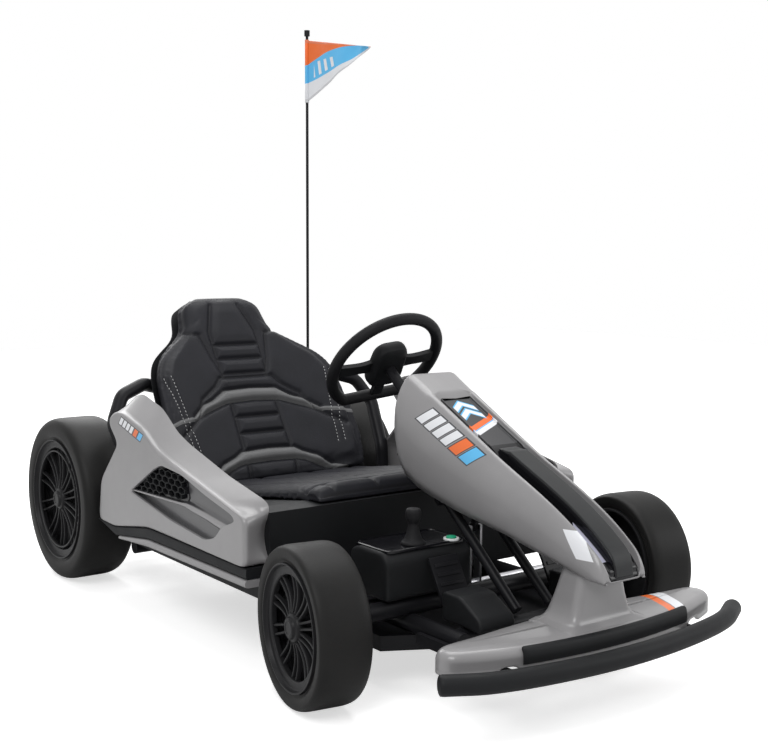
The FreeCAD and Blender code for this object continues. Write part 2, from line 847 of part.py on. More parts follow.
# Stations of the nose from its rear end forwards, each value a share of a named size.
COWL_ROWS = table("ahead top bottom half_width half_top carries",
                  (0.0, 1.0, 0.53, 1.0, 0.649, "skin"),
                  (0.05, 0.957, 0.38, 1.0, 0.64, "skin"),
                  (0.132, 0.886, 0.315, 1.0, 0.622, "trench"),
                  (0.457, 0.608, 0.149, 0.892, 0.581, "band"),
                  (0.921, 0.204, 0.0, 0.676, 0.541, "band"),
                  (1.0, 0.098, 0.0, 0.622, 0.514, "band"))
BELLY_SHARE = 0.2
BROW_SHARE = 0.3


def cowl_stations():
    """Each station as its place along Y, top, bottom, half width and half width of the top."""
    length = s.cowl_rear + s.bumper_reach - s.cowl_setback
    rows = []
    for row in COWL_ROWS:
        rows.append((from_front(s.cowl_rear) - length * row.ahead, s.cowl_base + s.cowl_height * row.top,
                     s.cowl_base + s.cowl_height * row.bottom, s.cowl_half_width * row.half_width,
                     s.cowl_half_width * row.half_top))
    return rows


def cowl_section(row, wall=0):
    """The eight-sided section of the nose at one station."""
    place, top, bottom, half, half_top = row
    rise = top - bottom
    belly = bottom + rise * BELLY_SHARE
    brow = top - rise * BROW_SHARE
    low = bottom - s.belly_over if wall else bottom
    return both_ways([(half_top - wall, top - wall), (half - wall - s.cowl_brow_inset, brow),
                      (half - wall, belly), (half - wall - s.cowl_belly_inset, low)])


def insert_section(row, half, low, high):
    """A strip let into the top of the nose, between two heights above its surface."""
    top = row[1]
    return [(-half, top + low), (half, top + low), (half, top + high), (-half, top + high)]


def along_nose(body, name, rows, section, cut=False):
    """Loft one section along the nose through its stations."""
    sketches = []
    for row in rows:
        sketch = new_sketch(body, "XZ_Plane", name, offset=-row[0])
        sketches.append(polygon(sketch, section(row)))
    return loft(body, sketches, cut=cut)


def moved(row, forward, rise=0):
    """The same station a little further forwards, and as much higher."""
    return (row[0] - forward, row[1] + rise) + tuple(row[2:])


def make_cowl():
    """A hollow nose, open below and behind, with a trench, a dark liner and a centre band."""
    wall = s.cowl_wall
    stations = cowl_stations()
    trench = [place for place, row in zip(stations, COWL_ROWS) if row.carries != "skin"]
    band = [place for place, row in zip(stations, COWL_ROWS) if row.carries == "band"]
    body = new_body("cowl")
    along_nose(body, "skin", stations, cowl_section)
    hollow = [moved(stations[0], -THROUGH)] + stations[1:-1] + [moved(stations[-1], -wall)]
    along_nose(body, "hollow", hollow, lambda row: cowl_section(row, wall), cut=True)
    tip = stations[-1][0]
    front = tip + s.shelf_front
    rear = tip + s.shelf_rear
    shelf = both_ways([(s.shelf_half_width + s.shelf_flare, rear), (s.shelf_half_width, front)])
    pad(body, polygon(new_sketch(body, "XY_Plane", "shelf", offset=s.shelf_level), shelf), wall)
    before, last = stations[-2:]
    fall = (last[1] - before[1]) / (before[0] - last[0])
    ahead = moved(last, s.trench_reach, fall * s.trench_reach)
    half = s.trench_half_width
    along_nose(body, "trench", trench[:-1] + [ahead],
               lambda row: insert_section(row, half, -s.trench_depth, s.trench_over), cut=True)
    keep(body, "nose_cowl")
    rows = [moved(trench[0], s.liner_gap)] + trench[1:]
    liner_top = s.liner_thick - s.trench_depth
    body = new_body("liner")
    along_nose(body, "liner", rows,
               lambda row: insert_section(row, half - GAP, GAP - s.trench_depth, liner_top))
    keep(body, "nose_liner")
    body = new_body("band")
    along_nose(body, "band", band,
               lambda row: insert_section(row, s.band_half_width, liner_top + GAP, s.band_rise))
    keep(body, "nose_band")


make_wing()
make_wing_strip()
make_cowl()


def column_turn(steered):
    """The steering column's frame: local +Z runs up the column, +Y points down."""
    tilt = Rotation(Vector(1, 0, 0), float(s.column_slope) - 90)
    if not steered:
        return tilt
    return tilt.multiply(Rotation(Vector(0, 0, 1), -float(s.rest_steer)))


SLOPE = math.radians(float(s.column_slope))
COLUMN_FOOT = (0, FRONT, s.wheel_hub_level - s.wheel_hub_y * math.tan(SLOPE))
HUB_RUN = s.wheel_hub_y / math.cos(SLOPE)


def make_struts():
    """Two struts that carry the column in a pair of bearing plates."""
    body = new_body("struts")
    for side in (-1, 1):
        rod = circle(new_sketch(body, "XY_Plane", "strut", offset=-s.strut_low), side * s.strut_half_gap,
                     s.strut_below, s.strut_radius)
        pad(body, rod, s.strut_low + s.strut_high)
    ear = s.cowl_half_width - s.cowl_wall - s.cowl_belly_inset - s.plate_clear
    for run, wide in ((s.plate_low_run, s.plate_low_half), (s.plate_high_run, ear)):
        outline = both_ways([(s.plate_top, -s.plate_top), (wide, s.plate_brow), (wide, s.plate_foot)])
        pad(body, polygon(new_sketch(body, "XY_Plane", "plate", offset=run), outline), s.plate_thick)
    start = s.plate_low_run - THROUGH
    bore = circle(new_sketch(body, "XY_Plane", "bore", offset=start), 0, 0, s.column_radius + s.pin_play)
    pocket(body, bore, s.plate_high_run + s.plate_thick + THROUGH - start, reverse=True)
    keep(body, "column_struts", COLUMN_FOOT, column_turn(False))


HUB_ROWS = ((0.53, 1.0), (0.88, 0.78), (1.0, -0.65), (0.65, -1.0))


def make_steering():
    """The steering shaft with its drop arm, the hub block and the flat-bottomed ring."""
    turn = column_turn(True)
    body = new_body("shaft")
    start = s.drop_arm_run - s.column_tail
    pad(body, circle(new_sketch(body, "XY_Plane", "shaft", offset=start), 0, 0, s.column_radius),
        HUB_RUN - s.drop_arm_run - s.column_tail)
    arm = both_ways([(s.drop_arm_half_root, -s.drop_arm_half_root), (s.drop_arm_half_tip, s.drop_arm_neck),
                     (s.drop_arm_half_tip, s.steer_arm - s.drop_arm_end)])
    low = s.drop_arm_run - s.drop_arm_thick / 2
    pad(body, polygon(new_sketch(body, "XY_Plane", "arm", offset=low), arm), s.drop_arm_thick)
    ball = body.newObject("PartDesign::AdditiveSphere", "Ball")
    ball.AttachmentSupport = [(plane_of(body, "XY_Plane"), "")]
    ball.MapMode = "FlatFace"
    bind(ball, Radius=s.fork_gap / 2 - GAP)
    ball.setExpression("AttachmentOffset.Base.y", s.steer_arm.text)
    ball.setExpression("AttachmentOffset.Base.z", s.drop_arm_run.text)
    keep(body, "steering_shaft", COLUMN_FOOT, turn)
    body = new_body("hub")
    outline = both_ways([(s.hub_block_half_width * out, s.hub_block_half_height * down)
                         for out, down in HUB_ROWS])
    pad(body, polygon(new_sketch(body, "XY_Plane", "block", offset=HUB_RUN - s.hub_block_low), outline),
        s.hub_block_thick)
    reach = s.ring_radius - s.ring_tube / 2 - THROUGH
    spokes = both_ways([(reach, -s.hub_spoke_top), (reach, s.hub_spoke_bottom)])
    pad(body, polygon(new_sketch(body, "XY_Plane", "spokes", offset=HUB_RUN - s.hub_spoke_low), spokes),
        s.hub_spoke_thick)
    keep(body, "steering_hub", COLUMN_FOOT, turn)
    radius = float(s.ring_radius)
    flat = float(s.ring_flat)
    tube = float(s.ring_tube) / 2
    half = math.sqrt(radius ** 2 - flat ** 2)
    plane = float(HUB_RUN)
    start = Vector(half, flat, plane)
    finish = Vector(-half, flat, plane)
    arc = Part.Arc(start, Vector(0, -radius, plane), finish).toShape()
    heading = arc.tangentAt(arc.FirstParameter)
    section = Part.Wire(Part.makeCircle(tube, start, heading))
    bend = Part.Wire([arc]).makePipeShell([section], True, False)
    corners = [Part.makeSphere(tube, end) for end in (start, finish)]
    ring = bend.multiFuse([bar(finish, start, tube)] + corners)
    keep(coded("ring", ring), "steering_ring", COLUMN_FOOT, turn)


make_struts()
make_steering()


def make_knuckles():
    """A sleeve on the kingpin with the stub axle and the steering arm."""
    half = s.knuckle_half_height
    stub_end = s.kingpin_inset + s.front_tyre_width / 2 - s.face_inset - s.stub_gap
    for side, sign in SIDES:
        turn = Rotation(Vector(0, 0, 1), -float(s.rest_steer))
        body = new_body("knuckle")
        sleeve = circle(new_sketch(body, "XY_Plane", "sleeve", offset=-half), 0, 0, s.knuckle_radius)
        pad(body, sleeve, half * 2)
        start = s.stub_root if sign > 0 else -stub_end
        stub = circle(new_sketch(body, "YZ_Plane", "stub", offset=start), 0, 0, s.axle_radius)
        pad(body, stub, stub_end - s.stub_root)
        reach = s.steer_arm + s.steer_arm_half_tip
        arm = both_ways([(s.steer_arm_half_root, 0), (s.steer_arm_half_tip, reach)])
        pad(body, polygon(new_sketch(body, "XY_Plane", "arm", offset=-s.steer_arm_level), arm),
            s.steer_arm_thick)
        pin = circle(new_sketch(body, "XY_Plane", "pin", offset=-s.link_pin_low), 0, s.steer_arm,
                     s.link_pin_radius)
        pad(body, pin, s.link_pin_length)
        bore = circle(new_sketch(body, "XY_Plane", "bore", offset=-half - THROUGH), 0, 0,
                      s.kingpin_radius + s.pin_play)
        pocket(body, bore, (half + THROUGH) * 2, reverse=True)
        keep(body, "knuckle_" + side, (sign * KINGPIN, FRONT, s.front_tyre_radius), turn)


def make_tie_rod():
    """The rod between both steering arms, with a fork for the drop arm's ball."""
    rest = math.radians(float(s.rest_steer))
    arm = s.steer_arm
    body = new_body("rod")
    reach = KINGPIN - s.rod_eye_radius + THROUGH
    half = s.rod_eye_height / 2
    pad(body, circle(new_sketch(body, "YZ_Plane", "shaft", offset=-reach), 0, 0, s.rod_radius), reach * 2)
    for side in (-1, 1):
        eye = circle(new_sketch(body, "XY_Plane", "eye", offset=-half), side * KINGPIN, 0, s.rod_eye_radius)
        pad(body, eye, s.rod_eye_height)
    for side in (-1, 1):
        near = side * s.fork_gap / 2
        far = side * (s.fork_gap / 2 + s.fork_plate)
        fork = [(near, -half), (far, -half), (far, half), (near, half)]
        pad(body, polygon(new_sketch(body, "XY_Plane", "fork"), fork), s.fork_rise)
    for side, play in ((-1, s.pin_play), (1, s.link_play)):
        bore = circle(new_sketch(body, "XY_Plane", "bore", offset=-half - THROUGH), side * KINGPIN, 0,
                      s.link_pin_radius + play)
        pocket(body, bore, (half + THROUGH) * 2, reverse=True)
    keep(body, "tie_rod", (arm * math.sin(rest), FRONT + arm * math.cos(rest), s.front_tyre_radius))


make_knuckles()
make_tie_rod()


def make_seat():
    """The moulded seat base, the battery inside it and the cushion."""
    body = new_body("base")
    half = PANEL_ROOT - GAP
    front = from_front(s.seat_front)
    rear = from_front(s.seat_rear)
    shoulder = s.seat_lip_level - s.seat_lip_drop
    outline = [(front, DECK), (front, shoulder), (front + s.seat_lip_run, shoulder),
               (rear, s.seat_rear_level), (rear, DECK)]
    pad(body, polygon(new_sketch(body, "YZ_Plane", "side"), outline), half * 2, midplane=True)
    wall = s.shell_wall
    inside = [(front + wall, DECK - THROUGH), (front + wall, shoulder - wall),
              (front + s.seat_lip_run, shoulder - wall), (rear - wall, s.seat_rear_level - wall),
              (rear - wall, DECK - THROUGH)]
    pocket(body, polygon(new_sketch(body, "YZ_Plane", "inside"), inside), (half - wall) * 2, midplane=True)
    keep(body, "seat_base")
    bed = s.tray_level + s.tray_sheet + GAP
    start = from_front(s.battery_front)
    pack = plain_box("battery", (-s.battery_half_width, start, bed),
                     (s.battery_half_width, start + s.battery_length, bed + s.battery_height))
    keep(pack, "battery")
    body = new_body("cushion")
    top = s.seat_lip_level
    under = from_front(s.cushion_under_run)
    back = from_front(s.cushion_rear)
    slope = (shoulder - s.seat_rear_level) / (s.seat_rear - s.seat_front - s.seat_lip_run)
    outline = [(front, shoulder + GAP), (front, top - s.cushion_crest_level),
               (front + s.cushion_nose, top + s.cushion_roll),
               (front + s.cushion_crest, top + s.cushion_crest_level),
               (from_front(s.cushion_sag_run), s.cushion_rear_level + s.cushion_sag),
               (from_front(s.cushion_slope_run), s.cushion_rear_level),
               (back, s.cushion_rear_level - s.cushion_tail_drop),
               (back, s.cushion_rear_level - s.cushion_rear_thick),
               (under, shoulder - slope * (under - front - s.seat_lip_run) + s.cushion_under_gap),
               (front + s.seat_lip_run, shoulder + GAP)]
    pad(body, polygon(new_sketch(body, "YZ_Plane", "side"), outline), s.seat_width, midplane=True)
    keep(body, "seat_cushion")


# Half outline of the back from its foot to its crown: shares of half width and length.
BACK_ROWS = ((0.953, 0.0), (1.0, 0.14), (1.0, 0.326), (0.958, 0.535), (0.874, 0.633), (0.679, 0.726),
             (0.512, 0.791), (0.47, 0.837), (0.465, 0.912), (0.395, 0.972), (0.265, 1.0))
# Plan of the back from its side to its middle: share of half width, share of the bolster's rise.
BOLSTER_ROWS = ((1.0, 1.0), (0.698, 0.36), (0.442, 0.0))


def make_seat_back():
    """A padded back with side bolsters in a thin hard shell, leaning on the frame."""
    turn = Rotation(Vector(1, 0, 0), 90 - float(s.back_recline))
    foot = (0, from_front(s.back_foot_run), s.back_foot_level)
    gap = GAP * 2
    wall = s.shell_wall

    def front(share, sink=0):
        return s.bolster_rise * share - sink

    def behind(share, sink=0):
        return (s.back_thick + s.bolster_rise - s.bolster_thick) * share - s.back_thick - sink

    def board(name, upper, lower, grow):
        body = new_body(name)
        half = SEAT_HALF + wall * 2
        rows = [(half, 1.0)] + [(SEAT_HALF * out, rise) for out, rise in BOLSTER_ROWS[1:]]
        near = [(-x, upper(rise)) for x, rise in rows] + [(x, upper(rise)) for x, rise in rows[::-1]]
        far = [(x, lower(rise)) for x, rise in rows] + [(-x, lower(rise)) for x, rise in rows[::-1]]
        over = wall * 2
        plan = polygon(new_sketch(body, "XZ_Plane", "plan", offset=over), near + far)
        pad(body, plan, s.back_length + over * 2, reverse=True)
        sketch = new_sketch(body, "XY_Plane", "outline", offset=s.bolster_rise + THROUGH)
        rim_half = half + over
        top = s.back_length + over * 2
        polygon(sketch, [(-rim_half, -over * 2), (rim_half, -over * 2), (rim_half, top), (-rim_half, top)])
        edge = [((SEAT_HALF + grow) * out, (s.back_length + grow) * up) for out, up in BACK_ROWS]
        polygon(sketch, both_ways(edge))
        pocket(body, sketch, s.bolster_rise + s.back_thick + over * 2)
        return body

    keep(board("back", front, behind, 0), "seat_back", foot, turn)
    keep(board("shell", lambda share: behind(share, gap), lambda share: behind(share, gap + wall), wall),
         "seat_shell", foot, turn)


make_seat()
make_seat_back()

# The pod's outer face and its root, point for point: shares of its length and height.
PANEL_ROWS = table("face_back face_up root_back root_up",
                   (0.0, 0.092, 0.0, 0.092), (0.0, 0.408, 0.0, 0.483), (0.225, 0.517, 0.225, 0.579),
                   (0.471, 0.633, 0.471, 0.721), (0.548, 0.683, 0.548, 0.783), (0.641, 0.8, 0.648, 0.925),
                   (0.788, 0.882, 0.788, 1.0), (0.855, 0.865, 0.861, 0.967), (0.897, 0.792, 0.916, 0.817),
                   (0.824, 0.642, 0.835, 0.65), (0.963, 0.321, 0.978, 0.333), (0.985, 0.008, 1.0, 0.008),
                   (0.859, 0.0, 0.859, 0.0), (0.711, 0.058, 0.711, 0.058), (0.617, 0.092, 0.617, 0.092))
PANEL_MIDDLE = (0.495, 0.392)
WINDOW_ROWS = ((0.727, 0.317), (0.559, 0.529), (0.509, 0.575), (0.372, 0.554), (0.223, 0.47),
               (0.073, 0.404), (0.055, 0.367), (0.132, 0.304), (0.172, 0.213), (0.233, 0.175),
               (0.447, 0.217))
MESH_ROWS = ((0.727, 0.317), (0.559, 0.529), (0.509, 0.575), (0.372, 0.554), (0.353, 0.375))
# The pan behind the window: place along the pod, lower and upper edge, share of its depth.
PAN_ROWS = table("back low high sunk",
                 (0.762, 0.208, 0.433, 1.0), (0.366, 0.125, 0.608, 1.0), (0.033, 0.242, 0.392, 0.03))
SILL_ROWS = ((0.0, 0.021), (0.0, 0.0905), (0.617, 0.0905), (0.711, 0.057), (0.859, -0.0012),
             (0.996, 0.0068), (0.897, -0.075), (0.617, 0.008))
LIP_ROWS = ((0.0, -0.033), (0.0, 0.0195), (0.617, 0.0068), (0.824, -0.054), (0.824, -0.083),
            (0.617, -0.05))


def on_pod(rows):
    return spread(rows, from_front(s.panel_front), PANEL_LENGTH, s.panel_bottom, s.panel_height)


def drawn_in(rows, wall):
    """Points moved towards the middle of the pod's side, for its inner surface."""
    placed = []
    length = float(PANEL_LENGTH)
    height = float(s.panel_height)
    for (back, up), (y, z) in zip(rows, on_pod(rows)):
        dy = (PANEL_MIDDLE[0] - back) * length
        dz = (PANEL_MIDDLE[1] - up) * height
        run = math.hypot(dy, dz)
        placed.append((y + wall * (dy / run), z + wall * (dz / run)))
    return placed


def make_side_panel(side, sign):
    """One hollow side pod with a window and a sloping pan behind it."""
    face = [(row.face_back, row.face_up) for row in PANEL_ROWS]
    root = [(row.root_back, row.root_up) for row in PANEL_ROWS]
    body = new_body("panel")
    for cut in (False, True):
        wall = s.panel_hollow_inset if cut else 0
        reach = PANEL_OUTER - s.panel_wall if cut else PANEL_OUTER
        start = PANEL_ROOT - GAP if cut else PANEL_ROOT
        near = polygon(new_sketch(body, "YZ_Plane", "root", offset=sign * start), drawn_in(root, wall))
        far = polygon(new_sketch(body, "YZ_Plane", "face", offset=sign * reach), drawn_in(face, wall))
        loft(body, [near, far], cut=cut)
    window = new_sketch(body, "YZ_Plane", "window", offset=sign * (PANEL_OUTER + THROUGH))
    pocket(body, polygon(window, on_pod(WINDOW_ROWS)), s.panel_wall + s.ramp_deep, reverse=sign < 0)
    sections = []
    for row in PAN_ROWS:
        outer = sign * (PANEL_OUTER - s.ramp_deep * row.sunk)
        inner = sign * (PANEL_OUTER - s.ramp_deep * row.sunk - s.ramp_sheet)
        (place, low), (place, high) = on_pod(((row.back, row.low), (row.back, row.high)))
        plan = [(inner, low), (outer, low), (outer, high), (inner, high)]
        sections.append(polygon(new_sketch(body, "XZ_Plane", "pan", offset=-place), plan))
    loft(body, sections)
    keep(body, "side_panel_" + side)


def make_side_trim():
    """The grilles in the windows, the dark sills and the lower lips, both sides."""
    body = new_body("meshes")
    middle = [sum(column) / len(MESH_ROWS) for column in zip(*MESH_ROWS)]
    grow = 1 + s.mesh_margin / s.panel_height * 2
    far = PANEL_OUTER - s.panel_wall - GAP
    (centre,) = on_pod((middle,))
    grille = [(centre[0] + (y - centre[0]) * grow, centre[1] + (z - centre[1]) * grow)
              for y, z in on_pod(MESH_ROWS)]
    for sign in (-1, 1):
        start = far - s.mesh_thick if sign > 0 else -far
        pad(body, polygon(new_sketch(body, "YZ_Plane", "grille", offset=start), grille), s.mesh_thick)
    keep(body, "side_meshes")
    for name, rows, inset in (("side_sills", SILL_ROWS, s.sill_inset), ("side_lips", LIP_ROWS, as_size(0))):
        body = new_body(name)
        for sign in (-1, 1):
            start = PANEL_ROOT if sign > 0 else -(PANEL_OUTER - inset)
            strip = polygon(new_sketch(body, "YZ_Plane", "strip", offset=start), on_pod(rows))
            pad(body, strip, s.panel_depth - inset)
        keep(body, name)


for side_name, side_sign in SIDES:
    make_side_panel(side_name, side_sign)
make_side_trim()


def make_controls():
    """The console box with its lever and button, and the pedal boxes with their pedals."""
    base = s.front_tyre_radius + s.frame_tube / 2 + GAP
    console = plain_box("console", (-s.console_right, from_front(-s.console_front), base),
                        (-s.console_left, from_front(s.console_rear), s.console_top))
    keep(console, "console_box")
    body = new_body("lever")
    top = s.console_top + GAP
    place = from_front(s.lever_run)
    stem = circle(new_sketch(body, "XY_Plane", "stem", offset=top), -s.lever_x, place, s.lever_stem_radius)
    pad(body, stem, s.lever_stem_length)
    knob = new_sketch(body, "XY_Plane", "knob", offset=top + s.lever_stem_length - THROUGH)
    pad(body, circle(knob, -s.lever_x, place, s.lever_knob_radius), s.lever_knob_height)
    keep(body, "drift_lever")
    body = new_body("button")
    button = circle(new_sketch(body, "XY_Plane", "button", offset=top), -s.button_x,
                    from_front(-s.button_run), s.button_radius)
    pad(body, button, s.button_height)
    keep(body, "start_button")
    rear = from_front(-s.pedal_rear)
    front = from_front(-s.pedal_front)
    case = [(front, CROSS_TOP), (front + s.pedal_nose_run, s.pedal_nose_level),
            (front + s.pedal_slope_run, s.pedal_top_level), (rear, s.pedal_top_level), (rear, CROSS_TOP)]
    foot = rear + GAP * 2
    lean = s.pedal_plate_lean
    thick = s.pedal_plate_thick
    skew = s.pedal_plate_skew
    plate = [(foot, s.pedal_plate_low + skew), (foot + lean, s.pedal_plate_high + skew),
             (foot + lean + thick, s.pedal_plate_high), (foot + thick, s.pedal_plate_low)]
    for name, outline, inset in (("pedal_boxes", case, as_size(0)), ("pedals", plate, s.pedal_plate_inset)):
        body = new_body(name)
        width = s.pedal_width - inset * 2
        for side in (-1, 1):
            start = s.pedal_inner + inset if side > 0 else -(s.pedal_inner + s.pedal_width - inset)
            sketch = polygon(new_sketch(body, "YZ_Plane", "side", offset=start), outline)
            pad(body, sketch, width)
        keep(body, name)


def make_flag():
    """A tall thin pole in a socket at the rear, with a soft pennant."""
    place = REAR + s.tail_run - s.cross_tube / 2 - s.socket_radius - GAP
    foot = s.rail_level - s.pole_foot
    body = new_body("socket")
    outer = circle(new_sketch(body, "XY_Plane", "outer", offset=s.rail_level - s.socket_low), POLE_X, place,
                   s.socket_radius)
    pad(body, outer, s.socket_height)
    bore = circle(new_sketch(body, "XY_Plane", "bore", offset=foot), POLE_X, place,
                  s.pole_radius + s.pin_play)
    pocket(body, bore, s.socket_height, reverse=True)
    keep(body, "flag_socket")
    body = new_body("pole")
    pad(body, circle(new_sketch(body, "XY_Plane", "pole", offset=foot), POLE_X, place, s.pole_radius),
        s.pole_top - foot)
    low = s.pole_top - s.pole_ball_height * 2 / 3
    ball = circle(new_sketch(body, "XY_Plane", "ball", offset=low), POLE_X, place, s.pole_ball_radius)
    pad(body, ball, s.pole_ball_height)
    keep(body, "flag_pole")
    body = new_body("pennant")
    hoist = place - s.pole_radius - GAP
    top = s.pole_top - s.flag_drop
    outline = [(hoist, top), (hoist - s.flag_length, s.pole_top - s.flag_tip_drop),
               (hoist, top - s.flag_hoist)]
    sheet = polygon(new_sketch(body, "YZ_Plane", "outline", offset=POLE_X - s.flag_sheet / 2), outline)
    pad(body, sheet, s.flag_sheet)
    keep(body, "flag")


# Path of a side arm from its foot to the seat shell: shares of its reach, run and height.
ARM_ROWS = table("inwards back up",
                 (0.0, 0.0, 0.0), (0.0, 0.063, 0.446), (-0.096, 0.488, 0.766), (0.111, 0.661, 0.94),
                 (0.519, 0.835, 1.0), (1.0, 1.0, 0.938))


ARM_END_SHARE = 0.698


def make_side_arms():
    """A bent tube on each side, from the cross tube's end up and in behind the seat shell."""
    shapes = []
    reach = ARM_FOOT - SEAT_HALF * ARM_END_SHARE
    for side in (-1, 1):
        rows = [(side * (ARM_FOOT - reach * row.inwards), ARM_TUBE + s.arm_run * row.back,
                 CROSS_TOP + s.arm_height * row.up) for row in ARM_ROWS]
        shapes.append(tube_shape(frame_points(*rows), float(s.arm_radius), float(s.arm_bend)))
    keep(coded("arms", Part.makeCompound(shapes)), "side_arms")


make_controls()
make_flag()
make_side_arms()

doc.recompute()
faults = [(o.Name, o.State) for o in doc.Objects if "Invalid" in o.State or "Error" in o.State]
for piece in nodes:
    if piece.Shape.isNull() or not piece.Shape.isValid():
        faults.append((piece.Label, "bad shape"))
if faults:
    raise RuntimeError(faults)
os.makedirs("parts", exist_ok=True)
for piece in nodes:
    piece.Shape.exportStep("parts/%s.step" % piece.Label)
    print(piece.Label, len(piece.Shape.Solids), round(piece.Shape.Volume))
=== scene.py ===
# %% [markdown]
# # Electric drift kart
# A low kart for a child: a tube frame, grey moulded bodywork, a quilted bucket seat, four slick
# tyres and a pennant on a tall pole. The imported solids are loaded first, because they give every
# place and every moving body. The lesson then dresses them, one piece or finish at a time.

import json
import math

import bmesh
import bpy
import numpy as np
from mathutils import Matrix, Vector
from mathutils.bvhtree import BVHTree


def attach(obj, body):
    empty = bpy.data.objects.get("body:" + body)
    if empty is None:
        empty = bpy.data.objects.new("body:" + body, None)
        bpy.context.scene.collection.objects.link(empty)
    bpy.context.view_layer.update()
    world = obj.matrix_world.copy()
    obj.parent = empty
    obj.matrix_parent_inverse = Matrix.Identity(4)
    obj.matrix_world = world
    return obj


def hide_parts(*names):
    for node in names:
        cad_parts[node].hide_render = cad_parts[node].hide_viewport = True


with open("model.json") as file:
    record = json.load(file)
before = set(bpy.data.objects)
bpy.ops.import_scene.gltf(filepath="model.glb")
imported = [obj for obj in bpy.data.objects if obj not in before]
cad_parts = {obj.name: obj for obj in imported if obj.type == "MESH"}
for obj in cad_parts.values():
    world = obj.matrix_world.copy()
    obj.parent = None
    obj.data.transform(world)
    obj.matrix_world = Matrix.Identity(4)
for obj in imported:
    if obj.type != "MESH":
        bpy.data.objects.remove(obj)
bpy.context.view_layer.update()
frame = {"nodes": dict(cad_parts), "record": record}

# %% [markdown]
# ## Camera
# The photograph was taken low, from the driver's front right. The wheels' ellipses and the kart's
# known track give the camera's place, so it is written as a point and three turns. The three axes
# of the camera are worked out as vectors: that is easier to check than a chain of Euler turns.

# %% Camera
CAMERA_PLACE = (-1.2285, -1.7375, 0.6374)
LENS, SENSOR = 56.9, 36.0
HEADING, DIP, LEAN = (math.radians(turn) for turn in (36.464, 5.747, 0.214))
view_along = Vector((math.sin(HEADING) * math.cos(DIP), math.cos(HEADING) * math.cos(DIP), -math.sin(DIP)))
level_right = view_along.cross(Vector((0, 0, 1))).normalized()
level_up = level_right.cross(view_along)
right = level_right * math.cos(LEAN) + level_up * math.sin(LEAN)
above = level_up * math.cos(LEAN) - level_right * math.sin(LEAN)
camera = bpy.data.objects.new("camera", bpy.data.cameras.new("camera"))
bpy.context.scene.collection.objects.link(camera)
camera.data.lens = LENS
camera.data.sensor_width = SENSOR
turned = Matrix((right, above, -view_along)).transposed().to_4x4()
camera.matrix_world = Matrix.Translation(CAMERA_PLACE) @ turned
bpy.context.scene.camera = camera
print("camera looks along", [round(part, 3) for part in view_along])

# %% [markdown]
# ## Shader arithmetic
# A finish on the real kart is rarely one number: paint is a little uneven, leather has grain, a
# stripe starts and ends somewhere. A node tree can say that, but boxes and wires are hard to read.
# The class Amount wraps one socket, so that maths is written as plain Python and adds its nodes
# by itself. The class Finish holds one material and adds any other node.


# %% Amounts and finishes
class Amount:
    """A number that varies over a surface; +, -, * and / on it add the matching Math nodes."""

    def __init__(self, finish, socket):
        self.finish = finish
        self.socket = socket

    def maths(self, operation, *values):
        """Add one Math node, feed it the values and give its result."""
        return self.finish.node("ShaderNodeMath", {"operation": operation}, dict(enumerate(values)))

    def __add__(self, other):
        return self.maths("ADD", self, other)

    def __sub__(self, other):
        return self.maths("SUBTRACT", self, other)

    def __rsub__(self, other):
        return self.maths("SUBTRACT", other, self)

    def __mul__(self, other):
        return self.maths("MULTIPLY", self, other)

    def __truediv__(self, other):
        return self.maths("DIVIDE", self, other)

    __radd__ = __add__
    __rmul__ = __mul__

    def size(self):
        return self.maths("ABSOLUTE", self)

    def least(self, other):
        return self.maths("MINIMUM", self, other)

    def sine(self):
        return self.maths("SINE", self)

    def fraction(self):
        return self.maths("FRACT", self)

    def under(self, limit, soft):
        """1 where the amount is below the limit, 0 above it, with a soft step between."""
        span = {"interpolation_type": "SMOOTHSTEP"}
        values = {0: self, 1: limit - soft, 2: limit + soft, 3: 1.0, 4: 0.0}
        return self.finish.node("ShaderNodeMapRange", span, values)


